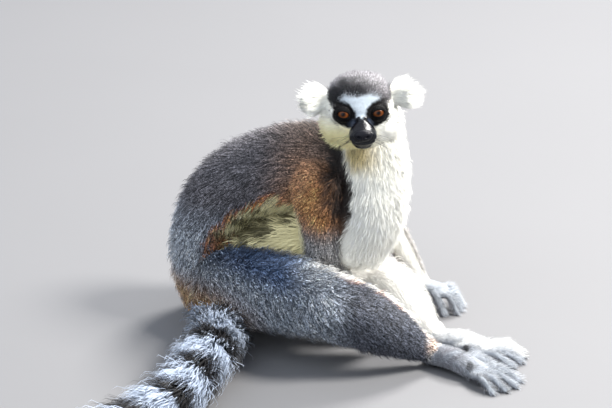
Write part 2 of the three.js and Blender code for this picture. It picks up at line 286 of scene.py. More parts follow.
for name, j in joints.items():
    part = {k: np.array(v, float) for k, v in j.items() if isinstance(v, tuple)}
    aim, inner = j["heading"], j["inner"]
    across = heading(aim + 90)
    if name.startswith("arm"):
        elbow, wrist, knuckles = part["elbow"], part["wrist"], part["knuckles"]
        half = (part["shoulder"] + elbow) / 2
        addTube(name + "Upper", chestSide, skin=4.5, hair=11.5, lift=0.28, width=0.8, hang=0.2,
                rows=[(*part["shoulder"], 28, 30), (*half, 24, 25), (*elbow, 20, 21)])
        fore = elbow + (wrist - elbow) * 0.45
        addTube(name + "Fore", chestSide, skin=3.8, hair=9.5, lift=0.28, width=0.75, hang=0.1,
                rows=[(*elbow, 18, 19), (*fore, 15.5, 16), (*wrist, 10.5, 10)])
        palm = wrist + (knuckles - wrist) * 0.6
        addTube(name + "Palm", across, skin=1.3, hair=5.5, lift=0.2, width=0.6, caps=(0.6, 0.6),
                rows=[(*wrist, 9.5, 8.5), (*palm, 12, 8), (*knuckles, 12.5, 7)])
        addDigits(name + "Finger", knuckles, aim, j["reach"], (0.86, 1, 1.04, 0.9), 3.3, j["arch"], 9, 6.8)
        thumb = wrist + (knuckles - wrist) * 0.5 + across * inner * 8
        addDigits(name + "Thumb", thumb, aim + inner * 38, j["reach"] * 0.8, (1,), 4, j["arch"] * 0.3)
    else:
        ankle, ball = part["ankle"], part["ball"]
        sizes = zip(("hip", "midThigh", "knee"), j["thigh"])
        addTube(name + "Thigh", upwards, skin=6.5, hair=15, lift=0.32, width=0.85, hang=0.6,
                rows=[(*part[n], size, size) for n, size in sizes])
        sizes = zip(("knee", "calf", "lowerCalf", "shin", "ankle"), j["shank"])
        addTube(name + "Shank", upwards, skin=4.5, hair=12.5, lift=0.32, width=0.8, hang=0.4,
                rows=[(*part[n], size, size) for n, size in sizes])
        heel = ankle - heading(aim) * 4
        heel[2] = 11
        instep = (ankle + ball) / 2
        instep[2] = 13
        addTube(name + "Sole", across, skin=1.6, hair=6.5, lift=0.26, width=0.6, caps=(0.9, 0.7),
                rows=[(*heel, 11, 12.5), (*instep, 12.5, 12.5), (*ball, 14, 9)])
        lengths = (0.84, 1, 1.04, 0.92) if inner > 0 else (0.92, 1.04, 1, 0.84)
        addDigits(name + "Toe", ball, aim, 38, lengths, 3.9, 5, 9, 7.9)
        big = ankle + (ball - ankle) * 0.42 + across * inner * 8
        big[2] = 11
        addDigits(name + "BigToe", big, aim + inner * 30, 42, (1,), 5.4, 6)

tail = {"rootRadius": 16, "radius": 28, "tipRadius": 15, "period": 62, "firstWhite": 128, "whiteShare": 0.56,
        "paleRoot": 96, "blackTip": 62}
tailKnots = np.array([
    (-8, 4, 28), (-18, -22, 22), (-14, -58, 21), (0, -98, 25), (0, -138, 27.5), (-8, -180, 27.5), (-24, -236, 27.5),
    (-50, -292, 27.5), (-88, -346, 27.5), (-138, -384, 26), (-196, -402, 22), (-256, -396, 13.5)], float)
dense = curveAt(tailKnots, np.linspace(0, 1, 400))
tailRun = np.concatenate([[0], np.cumsum(np.linalg.norm(np.diff(dense, axis=0), axis=1))])
tailStations = np.linspace(0, 1, 15)
tailCentres = np.stack([np.interp(tailStations * tailRun[-1], tailRun, dense[:, k]) for k in range(3)], 1)
tailSizes = tail["rootRadius"] + (tail["radius"] - tail["rootRadius"]) * ease(0.03, 0.24, tailStations)
tailSizes += (tail["tipRadius"] - tailSizes) * ease(0.75, 1, tailStations)
addTube("tail", upwards, skin=14.5, hair=37, lift=0.27, width=0.68,
        rows=[(*c, s, s) for c, s in zip(tailCentres.tolist(), tailSizes.tolist())])

# The head: a round cranium, cheeks, muzzle and jaw, and two cupped ears.
addTube("cheeks", headUp, skin=6, hair=11, lift=0.42, width=0.6, caps=(0.95, 0.95), rows=[
    (*onHead(3, -17.5, -9), 22, 27), (*onHead(4, 0, -15), 25, 30), (*onHead(3, 17.5, -9), 22, 27)])
addTube("muzzle", headLeft, skin=0.6, hair=2.6, lift=0.12, width=0.5, lie=-1, caps=(0.3, 0.55), rows=[
    (*onHead(24, 0.5, -2), 7.5, 11), (*onHead(32, 0.8, -5), 9.8, 11.5), (*onHead(40, 1, -8.5), 14.4, 11.4),
    (*onHead(48, 1, -10.8), 14.2, 10)])
addTube("jaw", headLeft, skin=0.6, hair=2.6, lift=0.12, width=0.5, lie=-1, caps=(0.3, 0.7), rows=[
    (*onHead(26, 0.5, -17), 12, 7), (*onHead(35, 0.8, -18.5), 11.4, 6), (*onHead(44, 1, -19.4), 9.4, 4.8)])
for sideName, side, rise in (("Right", -1, 12.5), ("Left", 1, 15.5)):
    addTube("ear" + sideName, headUp, skin=0, hair=17.5, lift=0.2, width=0.62, caps=(0.4, 0.9), cup=1.5, rows=[
        (*onHead(-8, side * 25, 13), 10, 6), (*onHead(-8, side * 37, rise), 11.5, 3.2),
        (*onHead(-6, side * 46, rise), 8, 2.4)])
cranium = {"centre": (-4, 0, 7), "radii": (39, 36, 34.5), "skin": 5.5, "boxy": 2.6}
faceForm = {"centre": (0, 0, 5), "radii": (32.5, 31.5, 28)}
browForm = {"centre": (19.5, 17.5, 7), "radii": (9.5, 12.5, 11.5)}
craniumRadii = np.array(cranium["radii"]) - cranium["skin"]
partNames = list(flesh) + ["cranium"]
partIndex = {n: i for i, n in enumerate(partNames)}


def onParts(part, *names):
    return np.isin(part, [partIndex[k] for k in names])


def partValue(key, part, other):
    return np.array([flesh[k].get(key, other) if k in flesh else other for k in partNames], float)[part]


def ringsAt(tube, shares):
    # Centre, direction, across, deep and the two half sizes of a tube at shares of its length.
    rows = np.array(tube["rows"], float)
    centre = curveAt(rows[:, :3], shares)
    ahead, behind = np.clip(shares + 1e-3, 0, 1), np.clip(shares - 1e-3, 0, 1)
    along = unit(curveAt(rows[:, :3], ahead) - curveAt(rows[:, :3], behind))
    side = np.asarray(tube["side"])
    across = unit(side - along * dot(along, side)[:, None])
    deep = np.cross(along, across)
    sizes = curveAt(np.column_stack([rows[:, 3:5], np.zeros(len(rows))]), shares)[:, :2]
    return centre, along, across, deep, sizes


def tubeSurface(tube, around=40, step=3.0):
    # Rings along a smooth path: each ring is an ellipse square to the path, and the two ends
    # are rounded by moving and shrinking their rings like the rows of half a ball.
    rows = np.array(tube["rows"], float)
    length = np.linalg.norm(np.diff(rows[:, :3], axis=0), axis=1).sum()
    capRows, spanRows = 7, max(6, int(length / step))
    shares = np.concatenate([np.zeros(capRows - 1), np.linspace(0, 1, spanRows), np.ones(capRows - 1)])
    rise = np.linspace(0, math.pi / 2, capRows + 1)[1:-1]
    tilt = np.concatenate([-rise[::-1], np.zeros(spanRows), rise])
    centre, along, across, deep, size = ringsAt(tube, shares)
    size = np.maximum(size - tube["skin"], 1.0)
    caps = np.where(tilt < 0, tube["caps"][0], tube["caps"][1])
    centre = centre + along * (np.sin(tilt) * caps * size.min(1))[:, None]
    turn = np.linspace(0, 2 * math.pi, around, endpoint=False)
    reach = np.cos(tilt)[:, None, None]
    grid = (centre[:, None] - across[:, None] * (np.cos(turn)[None, :, None] * reach * size[:, 0, None, None])
            + deep[:, None] * (np.sin(turn)[None, :, None] * reach * size[:, 1, None, None]))
    if "cup" in tube:  # an ear's rim curls forward
        rim = (np.cos(turn)[None, :] * np.cos(tilt)[:, None]) ** 2 + 0.8 * ease(0.35, 1, shares)[:, None] ** 2
        grid = grid + headForward * (tube["cup"] * rim)[..., None]
    ends = []
    for end, share, sign in ((0, 0.0, -1), (-1, 1.0, 1)):
        c, a, _, _, _ = ringsAt(tube, np.array([share]))
        tip = c[0] + sign * a[0] * (tube["caps"][end] * size[end].min())
        ends.append(tip + headForward * (tube.get("cup", 0) * 0.8 * share))
    return np.vstack([grid.reshape(-1, 3), ends]), *gridFaces(len(shares), around)


def ballSurface(centre, radii, axes=(headForward, headLeft), around=48, rows=24, boxy=2.0):
    # A ball stretched along three axes: rows of latitude along the first axis. Above 2, boxy
    # makes it fuller between the axes (a superellipsoid).
    lat = np.linspace(-math.pi / 2, math.pi / 2, rows + 2)[1:-1, None, None]
    lon = np.linspace(0, 2 * math.pi, around, endpoint=False)[None, :, None]
    along, out, deep = np.sin(lat) + 0 * lon, -np.cos(lat) * np.cos(lon), np.cos(lat) * np.sin(lon)
    size = (np.abs(along) ** boxy + np.abs(out) ** boxy + np.abs(deep) ** boxy) ** (-1 / boxy)
    third = np.cross(axes[0], axes[1])
    grid = size * (along * radii[0] * axes[0] + out * radii[1] * axes[1] + deep * radii[2] * third)
    ends = np.array([-radii[0] * axes[0], radii[0] * axes[0]])
    return centre + np.vstack([grid.reshape(-1, 3), ends]), *gridFaces(rows, around)


# ---- one skin over all of it ----

skinLook = {"voxel": 1.3, "keep": 0.385, "settle": 5, "around": 56, "aroundDigit": 20, "floor": 0.3, "levels": 4}
mouth = {"up": -15.6, "bow": 0.012, "rise": 0.1, "front": 48, "wide": 0.9, "deep": 1.5}


def makeSkin():
    surfaces = [tubeSurface(t, skinLook["aroundDigit" if t.get("digit") else "around"]) for t in flesh.values()]
    surfaces.append(ballSurface(onHead(*cranium["centre"]), craniumRadii, boxy=cranium["boxy"]))
    surfaces.append(ballSurface(onHead(*faceForm["centre"]), faceForm["radii"]))
    for side in (-1, 1):  # cheekbone and brow round each eye
        f, l, u = browForm["centre"]
        surfaces.append(ballSurface(onHead(f, side * l, u), browForm["radii"]))
    ob = makeMesh("skin", *joined(surfaces))
    bpy.context.view_layer.objects.active = ob
    remesh = ob.modifiers.new("whole", "REMESH")
    remesh.mode, remesh.voxel_size, remesh.adaptivity = "VOXEL", skinLook["voxel"] * metre, 0
    settle = ob.modifiers.new("settle", "SMOOTH")
    settle.factor, settle.iterations = 0.5, skinLook["settle"]
    bpy.ops.object.modifier_apply(modifier="whole")
    bpy.ops.object.modifier_apply(modifier="settle")
    report(f"skin remeshed: {len(ob.data.polygons)} quads")
    p = pointsOf(ob.data)
    p[:, 2] = np.maximum(p[:, 2], skinLook["floor"])  # it presses flat on the floor
    movePoints(ob.data, p)
    h = inHead(p)
    f, l, u = h.T  # the mouth is a crease round the muzzle, rising at its corners
    crease = u - mouth["up"] - mouth["bow"] * l * l - mouth["rise"] * (mouth["front"] - f)
    crease = bell(crease, mouth["wide"]) * ease(26, 33, f) * (np.abs(l) < 16)
    p = p - normalsOf(ob.data) * (mouth["deep"] * crease)[:, None]
    movePoints(ob.data, p)
    fine = ease(75, 60, np.linalg.norm(h - (10, 0, -2), axis=1))  # the head keeps its small faces
    fine = np.maximum(fine, ease(19, 13, p[:, 2]) * (p[:, 0] > 170))  # and so do the hands and feet
    group = ob.vertex_groups.new(name="coarser")
    step = np.round((1 - fine) * skinLook["levels"])
    for level in range(1, skinLook["levels"] + 1):
        chosen = np.flatnonzero(step == level)
        if len(chosen):
            group.add(chosen.tolist(), level / skinLook["levels"], "REPLACE")
    thin = ob.modifiers.new("thin", "DECIMATE")
    thin.ratio, thin.vertex_group, thin.vertex_group_factor = skinLook["keep"], "coarser", 1.0
    bpy.ops.object.modifier_apply(modifier="thin")
    ob.vertex_groups.clear()
    report(f"skin thinned: {sum(len(f.vertices) - 2 for f in ob.data.polygons)} triangles")
    return ob


skin = makeSkin()

# ---- which part each point belongs to, and how far round and along it lies ----

samples = []
for n, tube in flesh.items():
    shares = np.linspace(0, 1, 60 if n == "tail" else 26)
    c, a, x, d, s = ringsAt(tube, shares)
    samples.append((np.full(len(shares), partIndex[n]), shares, c, a, x, d, np.maximum(s - tube["skin"], 0.8)))
samplePart, sampleShare, sampleCentre, sampleAlong, sampleAcross, sampleDeep, sampleSize = (
    np.concatenate(x) for x in zip(*samples))


def squaresTo(p, others):
    # Squared distances from each point to each of some others.
    return (p ** 2).sum(1)[:, None] - 2 * p @ others.T + (others ** 2).sum(1)


def findPart(p):
    # The part whose surface is nearest: for each sample ring on the paths, the distance to its
    # centre less its radius; the cranium is a ball tested the same way, and wins a near tie.
    ring, away = np.empty(len(p), int), np.empty(len(p))
    radius = sampleSize.mean(1)
    for start in range(0, len(p), 4000):  # in batches, to spare memory
        d = np.sqrt(np.maximum(squaresTo(p[start:start + 4000], sampleCentre), 0)) - radius
        ring[start:start + 4000], away[start:start + 4000] = d.argmin(1), d.min(1)
    ball = inHead(p) - cranium["centre"]
    toCranium = (np.linalg.norm(ball / craniumRadii, axis=1) - 1) * craniumRadii.mean()
    return np.where(toCranium < away + 1.5, partIndex["cranium"], samplePart[ring]), ring


face = {"nose": (47, 0, -4), "eye": (0, 17, 7)}  # where the hair of the face runs away from


def lieAt(p, n, part, ring):
    # The way the hair points along the skin: along the limb, turned towards the floor where
    # the part says so; over the head it runs back from the nose.
    way = sampleAlong[ring] * partValue("lie", part, 1)[:, None] - upwards * partValue("hang", part, 0)[:, None]
    atShoulder = onParts(part, "armRightUpper", "armLeftUpper") * ease(0.5, 0.05, sampleShare[ring])
    way = mix(unit(way), unit(np.array([-0.7, 0.3, -0.55])), atShoulder)
    h = inHead(p)
    away = h - face["nose"]
    away[:, 2] -= 3 * ease(0, -25, h[:, 2])
    away[:, 0] *= np.where(h[:, 2] < 0, 0.75, 1.0)
    for side in (-1, 1):  # near an eye it grows away from the eye
        out = h - np.array(face["eye"]) * (1, side, 1)
        out[:, 0] = -3
        near = ease(14, 8, np.hypot(out[:, 1], out[:, 2])) * (h[:, 0] > 8)
        away = mix(unit(away), unit(out), near)
    onFace = onParts(part, "cranium", "cheeks", "muzzle", "jaw")
    way = np.where(onFace[:, None], unit(away @ headAxes), unit(way))
    onEar = onParts(part, "earRight", "earLeft")
    fan = np.stack([h[:, 0] * 0 - 1.5, (np.abs(h[:, 1]) - 20) * np.sign(h[:, 1]), (h[:, 2] - 13) * 0.5], 1)
    way = np.where(onEar[:, None], unit(fan @ headAxes), way)
    return unit(way - n * dot(way, n)[:, None])


# ---- the markings, the same for the skin and for the coat ----

hue = {name: tone(*rgb) for name, rgb in {
    "backGrey": (90, 88, 92), "shoulder": (90, 80, 74), "armBrown": (206, 140, 80), "rumpBlue": (158, 166, 176),
    "foldOrange": (190, 106, 42), "olive": (86, 80, 50), "thighGrey": (142, 150, 161), "thighTopShade": (58, 80, 114),
    "shankGrey": (60, 62, 71), "armGrey": (126, 125, 125), "armPale": (160, 156, 152), "rufous": (160, 100, 58),
    "gold": (166, 118, 60), "cream": (234, 222, 170), "white": (249, 248, 238), "ruffCream": (254, 238, 172),
    "throatShade": (208, 186, 122), "legWhite": (246, 244, 238), "forehead": (182, 192, 200),
    "pawWhite": (170, 176, 184), "footGrey": (142, 142, 148), "charcoal": (36, 32, 31), "capGrey": (120, 118, 122),
    "capDark": (15, 16, 21), "black": (16, 14, 15), "muzzle": (8, 8, 13), "slate": (70, 80, 98),
    "ringBlack": (26, 24, 26), "ringWhite": (196, 210, 232)}.items()}


def markings(p, n, part, ring):
    # The colour of the hair and the skin at points p that face n: each paint lays a tone over
    # those before it, where its share is above 0. The numbers are places on the body.
    c = np.tile(hue["backGrey"], (len(p), 1))
    x, y, z = p.T
    f, l, u = inHead(p).T

    def having(*words):
        return np.isin(part, [i for k, i in partIndex.items() if any(w in k for w in words)])

    def paint(name, share):
        c[:] = mix(c, hue[name], share)

    def facing(*way):
        return dot(n, unit(np.array(way)))

    # back, flanks and belly: innerness is 1 where the trunk's side turns in under it
    along = sampleAlong[ring]
    inner = np.cross(along, np.broadcast_to(trunkSide, along.shape))
    inner *= np.sign(dot(inner, np.array([85.0, -40, 70]) - sampleCentre[ring]))[:, None]
    innerness = dot(p - sampleCentre[ring], inner) / np.maximum(sampleSize[ring, 1], 1)
    trunk, belly = onParts(part, "backArch"), onParts(part, "bellyLine")
    right, left = having("armRight"), having("armLeft")
    sleeve = trunk | right | left | onParts(part, "breastColumn")
    outside = dot(n, trunkSide)
    # partly the rump's own greyer fur, partly painted shade: its blue tint stands for sky-lit shade
    paint("rumpBlue", trunk * ease(150, 90, z) * ease(45, 5, x) * 0.9)
    paint("shoulder", ease(40, 100, x) * sleeve * 0.9)
    brown = (0.82 + 0.3 * waves(p, 30, 31)).clip(0, 0.95)
    paint("armBrown", sleeve * bell(x - 106, 30) * bell(z - 164, 32) * ease(0.25, -0.3, outside) * brown)
    ragged = innerness + 0.1 * waves(p, 26, 21) + 0.06 * waves(p, 9, 22)
    paint("foldOrange", trunk * bell(ragged - 0.52, 0.055) * ease(60, 100, z) * ease(95, 60, x) * 0.9)
    paint("cream", trunk * ease(0.5, 0.64, ragged) * ease(60, 90, z))
    drawn = p * (0.45, 0.45, 1.3)  # wisps: long along the flank, narrow upwards
    wisps = ease(0.0, 0.5, waves(drawn, 15, 24) + ease(70, 40, x) - 0.5 + 0.4 * ease(115, 90, z))
    paint("olive", trunk * ease(0.52, 0.66, ragged) * wisps * 0.85)
    paint("foldOrange", trunk * ease(0.5, 0.6, ragged) * ease(30, 18, x) * ease(112, 98, z) * 0.8)
    # painted shade: charcoal in the hollow where the flank turns in above the thigh
    shadedHollow = ease(34, 4, x) * ease(70, 90, z) * ease(125, 100, z)
    paint("charcoal", trunk * bell(innerness - 0.45, 0.2) * shadedHollow * 0.6)
    paint("cream", belly)
    paint("olive", belly * ease(0.0, 0.6, waves(drawn, 13, 24) + ease(75, 40, x) - 0.3) * 0.9)
    # painted shade: charcoal over the inner fold towards the rump
    paint("charcoal", (belly | trunk) * ease(0.5, 0.62, ragged + belly) * ease(52, 25, x) * ease(116, 92, z) * 0.7)
    paint("gold", trunk * ease(76, 40, z) * ease(0.2, -0.6, outside) * 0.8)

    # neck and breast: white in front, a charcoal band at the border that is partly dark fur and partly painted
    # shade in the gap by the shoulder, a painted chin shadow on the throat, grey behind
    columnZ = [106, 112, 146, 180, 212, 238, 260]
    centreX = np.interp(z, columnZ, [138, 140, 151, 153, 149, 152, 152])
    centreY = np.interp(z, columnZ, [-68, -70, -74, -70, -60, -59, -62])
    front = ((x - centreX) * chestForward[0] + (y - centreY) * chestForward[1]) / 34
    border = np.interp(z, [120, 150, 180, 200, 218, 240], [0.16, 0.28, 0.3, 0.2, 0.02, -0.4])
    upper = onParts(part, "armRightUpper", "armLeftUpper")
    chest = onParts(part, "breastColumn") | (trunk & (x > 95)) | (upper & (z > 130))
    edge = front - border + 0.06 * waves(p, 14, 26)
    # partly dark fur, partly painted shade: the deep gap between the shoulder and the breast
    paint("charcoal", chest * ease(-0.62, -0.34, edge) * ease(128, 158, z) * ease(250, 225, z) * 0.96)
    paint("white", chest * ease(-0.04, 0.1, edge))
    # painted shadow: the chin's shadow on the white throat, as a darker yellowed cream on the shaded side
    paint("throatShade", chest * ease(0, 0.2, edge) * ease(188, 212, z) * ease(170, 143, x) * 0.9)
    paint("olive", chest * ease(0.05, 0.25, edge) * bell(z - 208, 14) * ease(0.1, 0.8, waves(p, 6, 44)) * 0.5)

    # arms: grey outside, white towards the body and at the wrist
    paint("armGrey", right * ease(150, 120, z) * 0.95)
    paint("cream", right * ease(0.8, 0.95, -n[:, 0]) * ease(160, 140, z) * 0.8)
    paint("white", right * ease(0.25, 0.65, facing(0.55, 0.8, 0.1)))
    paint("armPale", left * ease(150, 120, z))
    paint("white", left * ease(-0.15, 0.4, facing(-0.5, -0.85, 0)) * ease(150, 120, z))
    paint("white", (left | right) * ease(50, 25, z) * 0.85)

    # legs: grey outside, white inside, a rufous fringe where they meet, and painted blue shade along the top of the
    # near thigh
    rightThigh, rightShank = onParts(part, "legRightThigh"), onParts(part, "legRightShank")
    rightLeg, leftLeg = rightThigh | rightShank, onParts(part, "legLeftThigh", "legLeftShank")
    paint("thighGrey", rightLeg)
    # painted shade: the top of the near thigh is made darker and bluer where the body shades it
    paint("thighTopShade", rightLeg * ease(72, 94, z) * ease(98, 62, x) * 0.9)
    paint("shankGrey", rightLeg * ease(100, 140, x) * 0.9)
    paint("gold", rightThigh * ease(76, 40, z) * ease(60, -5, x) * 0.9)
    paint("rufous", rightThigh * ease(34, 14, z) * ease(45, 0, x) * (0.4 + 0.3 * waves(p, 20, 33)).clip(0, 1))
    inside = facing(0.15, 0.93, 0.3) + 0.05 * waves(p, 18, 34)
    fringe = (0.35 + 0.45 * waves(p, 26, 35)).clip(0, 0.8)
    paint("rufous", rightLeg * bell(inside - 0.46, 0.13) * ease(105, 150, x) * fringe)
    paint("legWhite", rightLeg * ease(0.42, 0.62, inside))
    outside = facing(0.1, 0.95, 0.1)
    paint("thighGrey", leftLeg)
    paint("rufous", leftLeg * bell(outside - 0.62, 0.12) * 0.4)
    paint("legWhite", leftLeg * ease(0.6, 0.42, outside))
    paint("legWhite", having("Shank") * ease(205, 222, x))
    paint("rufous", rightShank * bell(x - 216, 6) * bell(z - 26, 7) * 0.7)

    # hands and feet: pale fur painted as a bluish grey in shade, painted lighter on top of the far foot, painted
    # grey shade where they face sideways or down and so between the toes; grey over the near ankle, dark soles
    feet = having("Sole", "Toe")
    paws = feet | having("Palm", "Finger", "Thumb")
    nearFoot = ease(-118, -126, y)
    # painted shade: the paws' pale fur as a bluish grey, as it looks in shade
    paint("pawWhite", paws)
    # painted light: the top of the far foot made lighter where light falls from above
    paint("legWhite", feet * (1 - nearFoot) * ease(0.1, 0.7, n[:, 2]) * 0.4)
    paint("footGrey", feet * nearFoot * bell(x - 232, 20) * ease(4, 12, z) * (0.6 + 0.3 * waves(p, 14, 42)))
    patch = ease(0.1, 0.7, waves(p, 16, 41))
    paint("charcoal", feet * nearFoot * bell(x - 250, 8) * ease(10, 15, z) * patch * 0.8)
    # painted shade: grey on the sides and undersides of the paws, and so between the toes
    paint("footGrey", paws * ease(0.35, -0.15, n[:, 2]) * 0.6)
    paint("black", paws * ease(-0.45, -0.7, n[:, 2]))

    # tail: rings, a pale root and a black tip; the white rings are tinted blue as painted shade
    run = sampleShare[ring] * tailRun[-1] + dot(p - sampleCentre[ring], sampleAlong[ring])
    onTail = onParts(part, "tail")
    phase = (run - tail["firstWhite"]) / tail["period"]
    away, half = np.abs(phase - np.round(phase)), tail["whiteShare"] / 2
    ringWhite = ease(half + 0.05, half - 0.05, away)
    ringWhite = np.where(run < tail["paleRoot"], 0.8, ringWhite) * (run < tailRun[-1] - tail["blackTip"])
    # the white rings are white fur with a painted bluish shade
    c[:] = mix(c, mix(hue["ringBlack"], hue["ringWhite"], ringWhite), onTail)
    paint("backGrey", onTail * ease(60, 20, run))

    # head: white, a cream tint below the ears painted mostly on the shaded side, a forehead painted in bluish
    # shade, a grizzled cap with a dark front edge
    skull = onParts(part, "cranium", "cheeks")
    paint("white", skull)
    # painted shade: the white forehead dimmed and blued, as it looks lit by the sky alone
    paint("forehead", skull * ease(26, 20, np.abs(l)) * ease(-4, 2, u) * (f > 0))
    # partly the cream tint of the ruff, partly painted shade: it lies mostly on the side of the face that is in
    # shade
    paint("ruffCream", skull * ease(6, -16, u) * ease(22, -10, l) * 0.9)
    rim = np.interp(np.abs(l), [0, 14, 18, 22, 27, 36], [25.5, 25.5, 23, 17.5, 14, 13]) - 34 * ease(2, -24, f)
    cap = skull * ease(-2.2, 2.2, u - rim + 0.8 * waves(p, 7, 28))
    above = u - rim + 1.5 * waves(p, 12, 27)
    paint("capGrey", cap)
    paint("backGrey", cap * ease(6, 18, l) * ease(18, 6, above) * 0.7)
    dark = ease(15 - 0.25 * l, 6 - 0.1 * l, above) * ease(-10, 2, f)
    paint("capDark", cap * (0.42 + 0.56 * ease(18, 0, l)) * dark)
    paint("backGrey", skull * ease(-6, -20, f) * ease(-34, -10, u - 0.4 * f))
    for side in (-1, 1):  # black patch round each eye, slanting down to the muzzle
        a, b = (l - side * 16.5) * side, u - 6.0
        lengthwise, crosswise = a * 0.42 + (b - 1) * 0.91, a * 0.91 - (b - 1) * 0.42
        patch = ((np.abs(lengthwise) / 13.8) ** 1.7 + (np.abs(crosswise) / 11.6) ** 1.7) ** (1 / 1.7)
        wedge = l * side - np.interp(u, [3, 13.5, 24], [0.6, 5.6, 12.5]) + 0.5 * waves(p, 5, 30)
        paint("black", skull * ease(1.14, 0.9, patch + 0.06 * waves(p, 4, 29)) * ease(-0.9, 0.9, wedge) * (f > 8))
    snout = onParts(part, "muzzle", "jaw")
    paint("muzzle", snout)
    notch = (36.5 - f) * 0.5 - np.abs(l - 0.7) + 0.5 * waves(p, 4, 43)
    # painted shade: the white V between the eyes, in the same bluish shade as the forehead
    paint("forehead", snout * ease(-0.7, 0.7, notch) * ease(-2, 2, u))
    bridge = np.sqrt(((np.abs(l) - 8.5) / 5.5) ** 2 + ((u + 3) / 7) ** 2 + ((f - 32) / 8) ** 2)
    paint("slate", (snout | skull) * ease(1.3, 0.5, bridge) * 0.55)
    paint("white", onParts(part, "earRight", "earLeft"))
    return np.clip(c, 0, 1)


def paintSkin(me):
    p, n = pointsOf(me), normalsOf(me)
    part, ring = findPart(p)
    colour = markings(p, n, part, ring)
    bare = onParts(part, "muzzle", "jaw")
    pale = ease(0.3, 0.62, colour.mean(1))[:, None]
    # under grey fur the skin is darker: partly the darker undercoat, partly painted shade beneath the coat
    addColour(me, "hue", np.where(bare[:, None], colour, colour * (0.6 + 0.4 * pale)))
    addNumber(me, "gloss", bare * (1 - 0.7 * ease(0.02, 0.09, colour.mean(1))))


paintSkin(skin.data)
report("skin painted")

# ---- eyes, with the lids as part of the skin ----

eyes = {"seat": (24.5, 17, 7), "radius": 8.1, "cornea": 0.7, "lookUp": 15, "lookOut": 2, "pupil": 8, "iris": 44,
        "rows": 44, "around": 64}
# the opening, then how far from the eye's middle each turn of the lid lies
lids = {"wide": 5.9, "up": 2.5, "down": 3.3, "slant": 10, "around": 72, "under": 8.05, "edge": 8.4, "front": 8.85,
        "over": 8.95, "folds": 6, "step": 0.14, "bulge": 0.25, "fold": 0.2, "reach": 7.7}


def eyeFrame(side):
    forward, left, high = eyes["seat"]
    up, out = math.radians(eyes["lookUp"]), math.radians(eyes["lookOut"])
    gaze = unit(headForward * math.cos(up) + headUp * math.sin(up) + headLeft * side * math.sin(out))
    across = unit(np.cross(headUp, gaze))
    return onHead(forward, side * left, high), gaze, across, np.cross(gaze, across)


def makeEye(side, name):
    # A ball in rows from its front pole to its back; the front swells a little as a cornea.
    seat, gaze, across, up = eyeFrame(side)
    rows, around = eyes["rows"], eyes["around"]
    phi = (np.linspace(0, 1, rows + 2)[1:-1] ** 1.35 * math.pi)[:, None, None]
    theta = np.linspace(0, 2 * math.pi, around, endpoint=False)[None, :, None]
    r = eyes["radius"] + eyes["cornea"] * (1 - ease(0.2, 0.95, phi))
    ball = seat + r * (np.cos(phi) * gaze + np.sin(phi) * (np.cos(theta) * across + np.sin(theta) * up))
    poles = np.array([seat + gaze * (eyes["radius"] + eyes["cornea"]), seat - gaze * eyes["radius"]])
    ob = makeMesh(name, np.vstack([ball.reshape(-1, 3), poles]), *gridFaces(rows, around))
    angle = np.degrees(np.broadcast_to(phi, (rows, around, 1))).ravel()
    spoke = np.broadcast_to(theta, (rows, around, 1)).ravel()
    addNumber(ob.data, "fromPupil", np.concatenate([angle, [0, 180]]))
    addNumber(ob.data, "spokeX", np.concatenate([np.cos(spoke), [1, 1]]))
    addNumber(ob.data, "spokeY", np.concatenate([np.sin(spoke), [0, 0]]))
    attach(ob, "root")
    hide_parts("eye_right" if side < 0 else "eye_left")
    return ob


def heightOver(gaze, at, centre, radii):
    # Where a line along the gaze through each point leaves a ball stretched on the head's
    # axes: the larger root of a t^2 + 2 b t + c = 0.
    o, d = (inHead(at) - centre) / np.array(radii), headAxes @ gaze / np.array(radii)
    a, b, c = dot(d, d), dot(o, d), dot(o, o) - 1
    return (-b + np.sqrt(np.maximum(b * b - a * c, 0))) / a


def lidSurface(side):
    # A closed band round the almond opening: under the lid, its rolled edge, over the ball with
    # fine folds, down onto the skin and back underneath.
    seat, gaze, across, up = eyeFrame(side)
    theta = np.linspace(0, 2 * math.pi, lids["around"], endpoint=False)
    high = np.where(np.sin(theta) > 0, lids["up"], lids["down"])
    a = lids["wide"] * np.cos(theta)
    b = high * np.sign(np.sin(theta)) * np.abs(np.sin(theta)) ** 1.15
    slant = math.radians(lids["slant"]) * side
    a, b = a * math.cos(slant) - b * math.sin(slant), a * math.sin(slant) + b * math.cos(slant)
    opening = np.hypot(a, b)
    out = (a[:, None] * across + b[:, None] * up) / opening[:, None]
    upper = ease(-0.1, 0.5, b / opening)

    def onBall(rho, r):
        return seat + out * rho[:, None] + gaze * np.sqrt(np.maximum(r * r - rho * rho, 0.01))[:, None]

    def onSkin(rho, proud):
        flat = seat + out * rho[:, None]
        f, l, u = browForm["centre"]
        forms = [(faceForm["centre"], faceForm["radii"]), ((f, side * l, u), browForm["radii"])]
        h = np.max([heightOver(gaze, flat, c, r) for c, r in forms], 0)
        return flat + gaze * (h + proud)[:, None]

    rings = [onBall(opening + 0.5, lids["under"]), onBall(opening + 0.02, lids["edge"]),
             onBall(opening + 0.2, lids["front"])]
    for k in range(lids["folds"]):
        rho = opening + (lids["reach"] + 0.6 * upper - opening) * (lids["step"] * (k + 1))
        rings.append(onBall(rho, lids["over"] + lids["bulge"] * upper + lids["fold"] * upper * (-1) ** k))
    reach = lids["reach"] + 1 + upper
    ball, skinLine = onBall(np.minimum(reach - 0.8, 8.5), 9.0), onSkin(reach, 0.15)
    rings += [ball * 0.55 + skinLine * 0.45, skinLine, onSkin(reach + 1.4, -0.6), onSkin(reach + 1.1, -3)]
    rings += [seat + out * 8.2 - gaze * 3, seat + out * 7.0 + gaze * 1.0]
    return np.vstack(rings), gridQuads(len(rings), lids["around"], closed=True)


